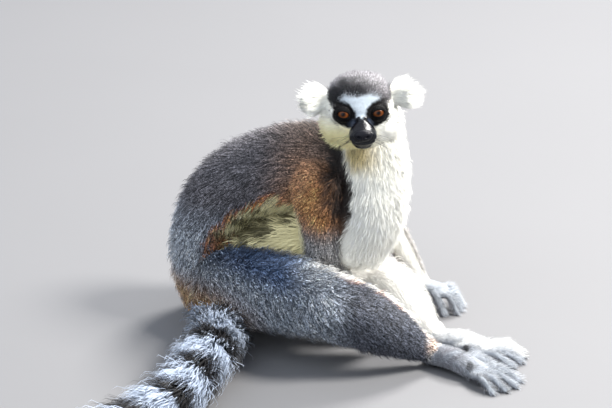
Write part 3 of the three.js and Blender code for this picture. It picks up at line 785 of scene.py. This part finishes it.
def addLids():
    for side in (-1, 1):
        verts, quads = lidSurface(side)
        lid = makeMesh("lid", verts, quads)
        addColour(lid.data, "hue", np.tile(hue["black"] * 0.5, (len(verts), 1)))
        addNumber(lid.data, "gloss", np.full(len(verts), 0.1))
        bpy.ops.object.select_all(action="DESELECT")
        lid.select_set(True)
        skin.select_set(True)
        bpy.context.view_layer.objects.active = skin
        bpy.ops.object.join()


eyeRight, eyeLeft = makeEye(-1, "eyeball_right"), makeEye(1, "eyeball_left")
addLids()
report("eyes and lids made")

# ---- nose, nails and whiskers ----

nose = {"seat": (51.8, 1, -7.8), "wide": 9.2, "high": 5.8, "deep": 4.4, "nostril": 3.8, "dent": 1.9, "slit": 0.9,
        "cleft": 0.55}


def makeNose():
    # A ball pulled wider at its top, pressed in at two comma nostrils and the cleft below them.
    seat = onHead(*nose["seat"])
    verts, quads, tris = ballSurface(seat, (nose["deep"], nose["wide"], nose["high"]), around=88, rows=56)
    f, l, u = ((verts - seat) @ axis for axis in headAxes)
    l = l * (1 + 0.1 * u / nose["high"])
    side = np.abs(l) - nose["nostril"]
    comma = np.sqrt((side / 1.5) ** 2 + ((u + 0.4 - 0.35 * side) / 1.1) ** 2)
    slit = bell(u + 0.9 - 0.45 * (np.abs(l) - 4.6), 0.6) * ease(3.6, 4.4, np.abs(l)) * ease(6.6, 5.6, np.abs(l))
    cleft = bell(l, 0.45) * ease(1.2, -1, u)
    dent = nose["dent"] * np.exp(-comma ** 3) + nose["slit"] * slit + nose["cleft"] * cleft
    f = f - dent * ease(0, 1.5, f)
    ob = makeMesh("nose", seat + np.stack([f, l, u], 1) @ headAxes, quads, tris)
    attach(ob, "root")
    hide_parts("nose_pad")
    return ob


nail = {"size": (2.7, 1.5, 0.95), "bigSize": (2.9, 2.5, 0.95), "bend": 0.9, "floor": 0.25}


def makeNails():
    # One small curved shell at the end of each digit, longer than it is wide.
    surfaces = []
    for name, tube in flesh.items():
        if not tube.get("digit"):
            continue
        rows = np.array(tube["rows"])
        along = unit(rows[-1, :3] - rows[-3, :3])
        across = unit(np.cross(upwards, along))
        raised, radius = np.cross(along, across), rows[-1, 3]
        size = nail["bigSize" if "Big" in name or "Thumb" in name else "size"]
        centre = rows[-1, :3] + along * (radius * 0.95) + raised * radius * 0.22
        v, q, t = ballSurface(centre, size, (along, across), 14, 8)
        ahead = dot(v - centre, along) / size[0]
        v = v - raised * (nail["bend"] * ease(-0.3, 1, ahead))[:, None]
        v[:, 2] = np.maximum(v[:, 2], nail["floor"])
        surfaces.append((v, q, t))
    ob = makeMesh("nails", *joined(surfaces))
    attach(ob, "root")
    return ob


whiskers = {"perSide": 14, "long": 24, "thick": 0.16, "points": 7, "sides": 3, "droop": 4.5, "sweep": 4.0}


def hairTubes(paths, radius, sides):
    # paths: hairs x points x 3. A small ring at each point, closing to almost nothing at the tip.
    along = unit(np.gradient(paths, axis=1))
    side = unit(np.cross(along, upwards + 0.01))
    deep = np.cross(along, side)
    hairs, points = paths.shape[:2]
    turn = np.linspace(0, 2 * math.pi, sides, endpoint=False)[:, None]
    size = (radius * np.linspace(1, 0.12, points))[None, :, None, None]
    rings = paths[:, :, None] + size * (side[:, :, None] * np.cos(turn) + deep[:, :, None] * np.sin(turn))
    base = np.arange(hairs)[:, None] * points * sides
    quads = (base[:, :, None] + gridQuads(points, sides)).reshape(-1, 4)
    ends = np.vstack([base + np.arange(sides)[::-1], base + (points - 1) * sides + np.arange(sides)])
    return rings.reshape(-1, 3), quads[:, ::-1], ends[:, ::-1]


def makeWhiskers():
    n, paths = whiskers["perSide"], []
    s = np.linspace(0, 1, whiskers["points"])[None, :, None]
    for side in (-1, 1):
        start = np.stack([rng.uniform(34, 47, n), side * rng.uniform(9.5, 11.5, n), rng.uniform(-17, -9, n)], 1)
        way = unit(np.stack([rng.uniform(0.0, 0.5, n), np.full(n, side * 1.0), rng.uniform(-0.5, 0.15, n)], 1))
        long = whiskers["long"] * rng.uniform(0.6, 1.1, n)
        path = start[:, None] + way[:, None] * (s * long[:, None, None])
        path[:, :, 2] -= whiskers["droop"] * s[:, :, 0] ** 2
        path[:, :, 0] -= whiskers["sweep"] * s[:, :, 0] ** 2
        paths.append(path)
    paths = np.vstack(paths) @ headAxes + np.array(head["centre"])
    ob = makeMesh("whiskers", *hairTubes(paths, whiskers["thick"], whiskers["sides"]))
    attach(ob, "root")
    return ob


noseOb, nails, whiskerOb = makeNose(), makeNails(), makeWhiskers()
report("nose, nails and whiskers made")

# ---- the coat: solid tufts rooted on the skin ----
# fine: single straight hairs. locks: broader tufts with one bend. long: locks with two bends.
# clump: how far tips draw together, round one leader in so many (gather). stray: how much the
# lie wanders. grizzle: how much tips vary in tone on grey parts. vary: how much tufts vary, and
# darken to the root, on pale parts. own: how much a tuft shades by its own faces, not as the
# skin below it.

coatDefaults = {"clump": 0.18, "stray": 0.16, "grizzle": 0.1, "gather": 20, "own": 0.75, "vary": 0.15,
                "slot": "coat_white"}
coats = {
    "coat_crown": dict(parts=["cranium"], fine=26500, locks=500, clump=0.08, stray=0.24, grizzle=0.6,
                       slot="coat_grey"),
    "coat_cheeks": dict(parts=["cheeks"], fine=15500, locks=1200, clump=0.3, stray=0.18, vary=0.25),
    "coat_snout": dict(parts=["muzzle", "jaw"], fine=3200, clump=0.1, stray=0.1, grizzle=0.2, slot="face_dark"),
    "coat_ears": dict(parts=["earRight", "earLeft"], fine=8000, locks=3000, clump=0.5, stray=0.14, gather=26,
                      grizzle=0.05, own=0.4, vary=0.3),
    "coat_back": dict(parts=["backArch"], where=lambda p: p[:, 2] > 104, fine=36000, locks=2200, clump=0.2,
                      grizzle=0.9, slot="coat_grey"),
    "coat_rump": dict(parts=["backArch"], where=lambda p: p[:, 2] <= 104, fine=17000, locks=1500, clump=0.25,
                      stray=0.18, grizzle=0.9, slot="coat_grey"),
    "coat_breast": dict(parts=["breastColumn"], fine=33000, locks=2000, clump=0.35, stray=0.26, gather=40,
                        vary=0.25),
    "coat_belly": dict(parts=["bellyLine"], fine=4500, locks=1500, clump=0.4, stray=0.25),
    "coat_thigh_right": dict(parts=["legRightThigh"], fine=29000, locks=2400, clump=0.4, stray=0.2, gather=30,
                             grizzle=1.0, slot="coat_grey"),
    "coat_thigh_left": dict(parts=["legLeftThigh"], fine=9000, locks=900, clump=0.15, grizzle=0.15),
    "coat_shank_right": dict(parts=["legRightShank"], fine=21000, locks=1800, clump=0.4, stray=0.18, gather=30,
                             grizzle=1.0, slot="coat_grey"),
    "coat_shank_left": dict(parts=["legLeftShank"], fine=8500, locks=800, clump=0.15, grizzle=0.12),
    "coat_arm_right": dict(parts=["armRightUpper", "armRightFore"], fine=20000, locks=1000, stray=0.15,
                           grizzle=0.85, slot="coat_grey"),
    "coat_arm_left": dict(parts=["armLeftUpper", "armLeftFore"], fine=9500, locks=700, grizzle=0.35),
    "coat_hands": dict(parts=["armRightPalm", "armLeftPalm"] + [n for n in flesh if "Finger" in n or "Thumb" in n],
                       fine=8500, clump=0.4, gather=14, grizzle=0.2, own=1.3, vary=0.55),
    "coat_feet": dict(parts=["legRightSole", "legLeftSole"] + [n for n in flesh if "Toe" in n],
                      fine=17000, locks=900, clump=0.45, stray=0.22, gather=16, grizzle=0.25, own=1.3, vary=0.6),
    "coat_tail_base": dict(parts=["tail"], where=lambda p: p[:, 1] > -190, fine=8500, long=4600, clump=0.3,
                           stray=0.1, gather=60, own=0.5, vary=0.2, slot="coat_ringed"),
    "coat_tail_end": dict(parts=["tail"], where=lambda p: p[:, 1] <= -190, fine=10000, long=6000, clump=0.3,
                          stray=0.1, gather=60, own=0.5, vary=0.2, slot="coat_ringed"),
}
# length and width of each kind of tuft against its part's own, the stops along it, and how
# broad it is at each stop before the tip
kinds = {
    "fine": dict(longer=0.82, wider=0.64, stops=(0, 1), broad=(1.0,)),
    "locks": dict(longer=1.0, wider=0.95, stops=(0, 0.5, 1), broad=(1.0, 0.82)),
    "long": dict(longer=1.0, wider=1.0, stops=(0, 0.34, 0.7, 1), broad=(1.0, 0.95, 0.62)),
}

skinMesh = skin.data
skinPoints, skinNormals = pointsOf(skinMesh), normalsOf(skinMesh)
skinPart, _ = findPart(skinPoints)
skinMesh.calc_loop_triangles()
skinTris = read(skinMesh.loop_triangles, "vertices", 3, np.int32)
triCorners = skinPoints[skinTris]
triCross = np.cross(triCorners[:, 1] - triCorners[:, 0], triCorners[:, 2] - triCorners[:, 0])
triArea = 0.5 * np.linalg.norm(triCross, axis=1)
triPart = skinPart[skinTris[:, 0]]
triMiddle = triCorners.mean(1)
triNormal = unit(skinNormals[skinTris].mean(1))


capHair = {"long": 5.2, "shorterInFront": 1.6, "longerBehind": 4, "wide": 0.56, "narrowerInFront": 0.06,
           "lift": 0.36, "flatterInFront": 0.2}
nearFace = {"shorter": 0.55, "flatter": 0.4}
eyeHole = {"wide": 6.9, "high": 4.4, "slant": 0.17}


def coatSizes(p, n, part, ring):
    # Length, width and lift of the tufts, from their part and then from the place on the head,
    # the limbs and the tail.
    long, wide, lift = partValue("hair", part, 9.0), partValue("width", part, 0.7), partValue("lift", part, 0.3)
    f, l, u = inHead(p).T
    dome, cheek = onParts(part, "cranium"), onParts(part, "cheeks")
    ball = unit((inHead(p) - cranium["centre"]) / cranium["radii"])
    front = ease(0.3, 0.8, ball[:, 0]) * dome
    capLong = capHair["long"] - capHair["shorterInFront"] * front + capHair["longerBehind"] * ease(5, -20, f)
    long = np.where(dome, capLong, long)
    wide = np.where(dome, capHair["wide"] - capHair["narrowerInFront"] * front, wide)
    lift = np.where(dome, capHair["lift"] - capHair["flatterInFront"] * front, lift)
    eyeGap = np.min([np.hypot(l - s * face["eye"][1], u - face["eye"][2]) for s in (-1, 1)], 0)
    for near in (ease(15, 9, eyeGap) * (f > 8) * (dome | cheek), cheek * ease(6, 24, f)):
        long, lift = long * (1 - nearFace["shorter"] * near), lift * (1 - nearFace["flatter"] * near)
    long = np.where(cheek & (np.abs(l) > 26), long * 1.2, long)
    run = sampleShare[ring]
    long = np.where(onParts(part, "legRightShank", "legLeftShank"), long * (1.1 - 0.6 * run), long)
    long = np.where(onParts(part, "armRightFore", "armLeftFore"), long * (1.1 - 0.45 * run), long)
    grown = (0.5 + 0.5 * ease(0.02, 0.22, run)) * (1 - 0.2 * ease(0.8, 1, run))
    long = np.where(onParts(part, "tail"), long * grown, long)
    under = ease(-0.3, -0.9, n[:, 2])
    return long, wide, lift * (1 - 0.45 * under * (p[:, 2] < 25))


def pickRoots(look, count):
    # Points spread evenly by area over the skin of the piece's parts, fewer where it rests on
    # the floor, and none on the lids, on the bare end of the muzzle or right at the floor.
    want = onParts(triPart, *look["parts"])
    if "where" in look:
        want &= look["where"](triMiddle)
    chosen = np.flatnonzero(want)
    resting = ease(-0.6, -0.95, triNormal[chosen, 2]) * (triMiddle[chosen, 2] < 12)
    weight = triArea[chosen] * (1 - 0.75 * resting)
    pick = rng.choice(chosen, count, p=weight / weight.sum())
    a, b = rng.random(count), rng.random(count)
    a, b = np.where(a + b > 1, 1 - a, a), np.where(a + b > 1, 1 - b, b)
    share = np.stack([1 - a - b, a, b], 1)[:, :, None]
    p = (triCorners[pick] * share).sum(1)
    n = unit((skinNormals[skinTris[pick]] * share).sum(1))
    f, l, u = inHead(p).T
    bare = onParts(triPart[pick], "muzzle", "jaw") & (f > 36 + 0.5 * np.abs(l)) | (p[:, 2] <= 0.9)
    for s in (-1, 1):
        across = l - s * face["eye"][1]
        high = (u - face["eye"][2] - eyeHole["slant"] * across * s) / eyeHole["high"]
        bare |= (np.hypot(across / eyeHole["wide"], high) < 1) & (f > 12)
    return p[~bare], n[~bare]


tips = {"pale": 0.36, "dark": 0.68, "paler": 2.2, "darker": 0.85}  # shares of the tufts, then by how much


def paintTufts(look, levels, p, n, part, ring):
    # The marking at the root, darker below, with grizzled tips on the grey parts. Three points
    # at each level and one at the tip.
    colour = markings(p + rng.normal(0, 0.9, p.shape), n, part, ring)
    pale = ease(0.3, 0.62, colour.mean(1))
    amount, vary = look["grizzle"] * (1 - 0.85 * pale), look["vary"]
    shade = 1 + rng.normal(0, 0.25, len(p)) * (1 - (1 - vary) * pale)
    shade += (0.1 * waves(p, 30, 9) + 0.14 * waves(p, 11, 10)) * (1 - 0.8 * pale)
    lot = rng.random(len(p))
    tip = np.where(lot > tips["dark"], 1 - tips["darker"] * amount, 1.0)
    tip = np.where(lot < tips["pale"], 1 + tips["paler"] * amount, tip)
    base = colour * np.maximum(shade, 0.2)[:, None]
    rootShade = (0.5 + 0.5 * pale * (1.15 - vary))[:, None]
    steps = [base * (rootShade + (1 - rootShade) * k / levels) for k in range(levels)]
    layers = np.concatenate([np.repeat(s[:, None], 3, 1) for s in steps] + [(base * tip[:, None])[:, None]], 1)
    grain = (look["grizzle"] * (1 - 0.9 * pale)).clip(0, 1)
    return np.clip(layers, 0.004, 0.97).reshape(-1, 3), np.repeat(grain, layers.shape[1])


def placeTufts(look, levels, p, part, ring):
    # OFBake: each tuft is a small patch at its root's place round and along its own part.
    off = p - sampleCentre[ring]
    turn = np.arctan2(dot(off, sampleDeep[ring]), -dot(off, sampleAcross[ring])) / (2 * math.pi) % 1
    cells = {partIndex[k]: i for i, k in enumerate(look["parts"])}
    cell = np.array([cells.get(i, 0) for i in range(len(partNames))])[part]
    ball = unit(inHead(p) - cranium["centre"])
    dome = onParts(part, "cranium")
    turn = np.where(dome, (np.arctan2(ball[:, 1], ball[:, 0]) / (2 * math.pi)) % 1, turn)
    run = np.where(dome, np.arccos(np.clip(ball[:, 2], -1, 1)) / math.pi, sampleShare[ring])
    run = run + rng.uniform(-0.5, 0.5, len(p)) / 60 * ~dome
    place = np.stack([turn, (cell + np.clip(run, 0, 1)) / len(cells)], 1) * 0.99 + 0.004
    patch = [(-0.0015, 0), (0.0015, 0), (0, 0.0003)]
    spots = np.array([(x, y + 0.003 * r / levels) for r in range(levels) for x, y in patch] + [(0, 0.003)])
    return np.clip(place[:, None] + spots[None], 0, 1).reshape(-1, 2)


tuft = {"root": 0.7, "long": (0.72, 1.18), "wide": (0.7, 1.25), "rise": (0.04, 1.1), "ridge": 0.45,
        "pull": (0.5, 1.25), "farthest": 0.45, "floor": 0.35, "floorSpread": 0.5}


def growTufts(look, count, longer, wider, stops, broad):
    p, n = pickRoots(look, count)
    part, ring = findPart(p)
    lie = lieAt(p, n, part, ring)
    count = len(p)

    # the lie wanders in slow waves, and each tuft strays a little on its own
    side = unit(np.cross(lie, n))
    swing = look["stray"] * (1.1 * waves(p, 38, 5)) + rng.normal(0, look["stray"] * 0.75, count)
    lie = unit(lie * np.cos(swing)[:, None] + side * np.sin(swing)[:, None])
    side = unit(np.cross(lie, n))
    long, wide, lift = coatSizes(p, n, part, ring)
    long = long * longer * rng.uniform(*tuft["long"], count) * (1 + 0.12 * waves(p, 22, 6))
    wide = wide * wider * rng.uniform(*tuft["wide"], count)
    rise = lift * (1 + 0.25 * waves(p, 16, 7)) + rng.normal(0, 0.06, count)
    rise = np.clip(rise, *tuft["rise"]) * math.pi / 2
    forwards, outwards = long * np.cos(rise), long * np.sin(rise)

    # the line of each tuft, from just under the skin: it rises early and then lies over
    line = [p - n * tuft["root"]]
    for s in stops[1:]:
        bend = math.sin(min(s * 1.25, 1) * math.pi / 2)
        line.append(p + lie * (forwards * s)[:, None] + n * (outwards * bend)[:, None])

    # clumps: tips are drawn to the tip of the nearest leading tuft
    leaders = np.flatnonzero(rng.random(count) < 1 / look["gather"])
    nearest = np.empty(count, int)
    for s in range(0, count, 3000):
        nearest[s:s + 3000] = squaresTo(p[s:s + 3000], p[leaders]).argmin(1)
    toLeader = line[-1][leaders][nearest] - line[-1]
    close = np.linalg.norm(toLeader, axis=1) < tuft["farthest"] * long
    shift = toLeader * (look["clump"] * rng.uniform(*tuft["pull"], count) * close)[:, None]
    lowest = tuft["floor"] + tuft["floorSpread"] * rng.random(count)
    for k, s in enumerate(stops):
        line[k] = line[k] + shift * s ** 1.5
        line[k][:, 2] = np.maximum(line[k][:, 2], lowest)

    # three-sided: rings of left, right and ridge points, then one tip. Each point is shaded
    # mostly as the skin below it faces, so the coat reads as one soft surface. An ear is thin,
    # so each side of it shades as one.
    own = look["own"]
    earWay = headForward * (dot(n, headForward) > -0.3)[:, None] * 0.35 + upwards * 0.9 + n * 0.15
    base = np.where(onParts(part, "earRight", "earLeft")[:, None], earWay, n)
    rings, facing = [], []
    for k, size in enumerate(broad):
        ridge = np.cross(side, unit(line[k + 1] - line[k]))
        w = (wide * size)[:, None]
        rings += [line[k] - side * w * 0.5, line[k] + side * w * 0.5, line[k] + ridge * w * tuft["ridge"]]
        facing += [base - side * own, base + side * own, base + ridge * own]
    verts = np.stack(rings + [line[-1]], 1)
    facing = unit(np.stack(facing + [base + ridge * 0.4], 1))
    per, top = verts.shape[1], 3 * (len(broad) - 1)
    start = np.arange(count)[:, None] * per
    quads, tris = [np.zeros((0, 4), int)], [start + np.array([0, 1, 2])]
    for i, j in ((0, 1), (1, 2), (2, 0)):
        quads += [start + np.array([r + i, r + 3 + i, r + 3 + j, r + j]) for r in range(0, top, 3)]
        tris.append(start + np.array([top + i, per - 1, top + j]))
    shape = verts.reshape(-1, 3), np.vstack(quads), np.vstack(tris)
    colour, grain = paintTufts(look, len(broad), p, n, part, ring)
    return shape, colour, grain, facing.reshape(-1, 3), placeTufts(look, len(broad), p, part, ring)


def growCoat(name, look):
    look = {**coatDefaults, **look}
    grown = [growTufts(look, look[kind], **more) for kind, more in kinds.items() if kind in look]
    shapes, colours, grains, facings, places = zip(*grown)
    verts, quads, tris = joined(shapes)
    ob = makeMesh(name, verts, quads, tris)
    me = ob.data
    addColour(me, "hue", np.vstack(colours))
    addLayer(me, "custom_normal", "FLOAT_VECTOR", "vector", np.vstack(facings))
    addNumber(me, "grain", np.concatenate(grains))
    loops = read(me.loops, "vertex_index", kind=np.int32)
    layer = me.uv_layers.new(name="OFBake", do_init=False)
    layer.uv.foreach_set("vector", np.vstack(places)[loops].astype(np.float32).ravel())
    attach(ob, "root")
    report(f"{name}: {2 * len(quads) + len(tris)} triangles")
    return 2 * len(quads) + len(tris), ob


triangles, coat = zip(*(growCoat(name, look) for name, look in coats.items()))
report(f"coat: {sum(triangles)} triangles")

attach(skin, "root")
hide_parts(*[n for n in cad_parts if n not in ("eye_right", "eye_left", "nose_pad")])

# ---- materials ----


def newMaterial(name):
    m = bpy.data.materials.new(name)
    m.use_nodes = True
    return m, m.node_tree, m.node_tree.nodes["Principled BSDF"]


def feed(tree, node, inputs):
    # Each input is linked to another node's socket, or set to a constant.
    for key, value in inputs.items():
        if isinstance(value, bpy.types.NodeSocket):
            tree.links.new(value, node.inputs[key])
        else:
            node.inputs[key].default_value = value


def addNode(tree, kind, inputs={}, **settings):
    node = tree.nodes.new("ShaderNode" + kind)
    for key, value in settings.items():
        setattr(node, key, value)
    feed(tree, node, inputs)
    return node


def patternIn(tree, kind, output, **sizes):
    # A pattern fixed to the piece's own places.
    place = addNode(tree, "TexCoord").outputs["Object"]
    return addNode(tree, "Tex" + kind, {"Vector": place, **sizes}).outputs[output]


def scaledBy(tree, value, low, high, start=0, end=1):
    # The value, from start to end, as a number from low to high.
    spread = {"Value": value, "From Min": start, "From Max": end, "To Min": low, "To Max": high}
    return addNode(tree, "MapRange", spread).outputs["Result"]


def timesColour(tree, colour, value):
    return addNode(tree, "VectorMath", {0: colour, "Scale": value}, operation="SCALE").outputs["Vector"]


def tinted(tree, colour, value):
    tint = addNode(tree, "RGB").outputs[0]
    tint.default_value = (*colour, 1)
    return timesColour(tree, tint, value)


def attribute(tree, name, output="Fac"):
    return addNode(tree, "Attribute", attribute_name=name).outputs[output]


def bumpOf(tree, height, distance, invert=False):
    inputs = {"Strength": 0.35, "Distance": distance, "Height": height}
    return addNode(tree, "Bump", inputs, invert=invert).outputs["Normal"]


coatLook = {"rough": (0.5, 0.72), "speckle": 500, "pepper": (0.1, 2.25), "noise": (0.38, 0.64)}


def coatMaterial():
    m, tree, surface = newMaterial("coat hair")
    noise = patternIn(tree, "Noise", "Fac", Scale=coatLook["speckle"], Detail=2)
    pepper = scaledBy(tree, noise, *coatLook["pepper"], *coatLook["noise"])
    share = scaledBy(tree, attribute(tree, "grain"), 1.0, pepper)  # grey hair is peppered, white hardly
    feed(tree, surface, {
        "Base Color": timesColour(tree, attribute(tree, "hue", "Color"), share),
        "Roughness": scaledBy(tree, noise, *coatLook["rough"]),
        "Specular IOR Level": 0.3, "Sheen Weight": 0.12, "Sheen Roughness": 0.4})
    return m


def skinMaterial(name, specular, dull, shiny):
    m, tree, surface = newMaterial(name)
    fine = patternIn(tree, "Noise", "Fac", Scale=900, Detail=4)
    feed(tree, surface, {
        "Base Color": timesColour(tree, attribute(tree, "hue", "Color"), scaledBy(tree, fine, 0.75, 1.25)),
        "Roughness": scaledBy(tree, attribute(tree, "gloss"), dull, shiny),
        "Specular IOR Level": specular, "Normal": bumpOf(tree, fine, 0.0004)})
    return m


def noseMaterial():
    m, tree, surface = newMaterial("nose leather")
    pebbles = patternIn(tree, "Voronoi", "Distance", Scale=1500)
    feed(tree, surface, {
        "Base Color": tinted(tree, (0.006, 0.006, 0.009), scaledBy(tree, pebbles, 1.5, 0.5)),
        "Roughness": scaledBy(tree, pebbles, 0.24, 0.42),
        "Specular IOR Level": 0.15, "Normal": bumpOf(tree, pebbles, 0.0003, invert=True)})
    return m


def eyeMaterial():
    # Bands of colour by the angle from the pupil's middle, with fine spokes in the iris.
    m, tree, surface = newMaterial("eye")
    place = {0: attribute(tree, "spokeX"), 1: attribute(tree, "spokeY")}
    place = addNode(tree, "CombineXYZ", place).outputs[0]
    spokes = addNode(tree, "TexNoise", {"Scale": 9, "Detail": 4, "Vector": place}).outputs["Fac"]
    widest = 60  # degrees at the ramp's end
    pupil, iris = eyes["pupil"] / widest, eyes["iris"] / widest
    stops = ((0, (4, 3, 3)), (1, (10, 7, 6)), (pupil, (8, 5, 3)), (pupil + 0.06, (44, 21, 9)), (0.4, (98, 52, 18)),
             (iris - 0.16, (66, 32, 10)), (iris, (16, 9, 6)))
    ramp = addNode(tree, "ValToRGB", {"Fac": scaledBy(tree, attribute(tree, "fromPupil"), 0, 1, 0, widest)})
    elements = ramp.color_ramp.elements  # a new ramp has one at each end
    for i, (at, c) in enumerate(stops):
        e = elements[i] if i < 2 else elements.new(at)
        e.position, e.color = at, (*tone(*c), 1)
    feed(tree, surface, {
        "Base Color": timesColour(tree, ramp.outputs["Color"], scaledBy(tree, spokes, 0.1, 1.95)),
        "Roughness": 0.12, "Specular IOR Level": 0.08, "Coat Weight": 0.2, "Coat Roughness": 0.03})
    return m


def hornMaterial(name, dark, rough):
    m, tree, surface = newMaterial(name)
    noise = patternIn(tree, "Noise", "Fac", Scale=1200, Detail=3)
    feed(tree, surface, {
        "Base Color": tinted(tree, tone(*dark), scaledBy(tree, noise, 0.6, 1.5)),
        "Roughness": scaledBy(tree, noise, rough - 0.1, rough + 0.15)})
    return m


hair, eyeStuff = coatMaterial(), eyeMaterial()
for ob in coat:
    ob.data.materials.append(hair)
for ob in (eyeRight, eyeLeft):
    ob.data.materials.append(eyeStuff)
noseOb.data.materials.append(noseMaterial())
nails.data.materials.append(hornMaterial("nail horn", (34, 28, 26), 0.35))
whiskerOb.data.materials.append(hornMaterial("whisker hair", (20, 18, 18), 0.45))
skinMesh.materials.append(skinMaterial("skin and undercoat", 0.12, 0.85, 0.7))
skinMesh.materials.append(skinMaterial("muzzle leather", 0.32, 0.6, 0.22))
gloss = read(skinMesh.attributes["gloss"].data, "value")
corners = read(skinMesh.loops, "vertex_index", kind=np.int32)
shiny = gloss[corners[read(skinMesh.polygons, "loop_start", kind=np.int32)]] > 0.25
skinMesh.polygons.foreach_set("material_index", shiny.astype(np.int32))
report("materials made")

# ---- floor, light and camera ----

floorLook = {"half": 6000, "tone": (0.165, 0.165, 0.17), "rough": 0.8}
lights = {
    "key": dict(at=(1810, -440, 2160), size=0.9, watts=150, tint=(1.0, 0.97, 0.92)),
    "fill": dict(at=(-1500, -2300, 2300), size=4.5, watts=60, tint=(0.84, 0.92, 1.0)),
    "back": dict(at=(1000, 1500, 2150), size=0.9, watts=130, tint=(1.0, 0.98, 0.95)),
}
lightTarget = (80, -80, 120)
sky = {"colour": (0.82, 0.88, 1.0, 1), "strength": 0.88}
view = {"target": (91, -70, 148), "elevation": 22, "away": 3400, "lens": 200, "sensor": 36}


def makeFloor():
    verts = np.array([(-1, -1, 0), (1, -1, 0), (1, 1, 0), (-1, 1, 0)], float) * floorLook["half"]
    floor = makeMesh("floor", verts, np.array([[0, 1, 2, 3]]))
    m, tree, surface = newMaterial("pale floor")
    noise = patternIn(tree, "Noise", "Fac", Scale=3, Detail=3)
    feed(tree, surface, {"Base Color": tinted(tree, floorLook["tone"], scaledBy(tree, noise, 0.97, 1.03)),
                         "Roughness": floorLook["rough"]})
    floor.data.materials.append(m)


def aimAt(ob, at, target):
    z = unit(np.array(at, float) - np.array(target, float))
    x = unit(np.cross(upwards, z))
    m = np.eye(4)
    m[:3, 0], m[:3, 1], m[:3, 2], m[:3, 3] = x, np.cross(z, x), z, np.array(at) * metre
    ob.matrix_world = Matrix(m.tolist())


def makeLights():
    for name, look in lights.items():
        lamp = bpy.data.lights.new(name, "AREA")
        lamp.shape, lamp.size, lamp.energy, lamp.color = "DISK", look["size"], look["watts"], look["tint"]
        aimAt(newObject(name, lamp), look["at"], lightTarget)
    world = bpy.data.worlds.new("studio")
    world.use_nodes = True
    tree = world.node_tree
    feed(tree, tree.nodes["Background"], {"Color": sky["colour"], "Strength": sky["strength"]})
    bpy.context.scene.world = world
    bpy.context.scene.view_settings.view_transform = "Standard"


def makeCamera():
    cam = bpy.data.cameras.new("camera")
    cam.lens, cam.sensor_width = view["lens"], view["sensor"]
    ob = newObject("camera", cam)
    tilt = math.radians(view["elevation"])
    at = np.array(view["target"]) + view["away"] * np.array([0, -math.cos(tilt), math.sin(tilt)])
    aimAt(ob, at, view["target"])
    bpy.context.scene.camera = ob


makeFloor()
makeLights()
makeCamera()

bpy.context.view_layer.update()
report("done")
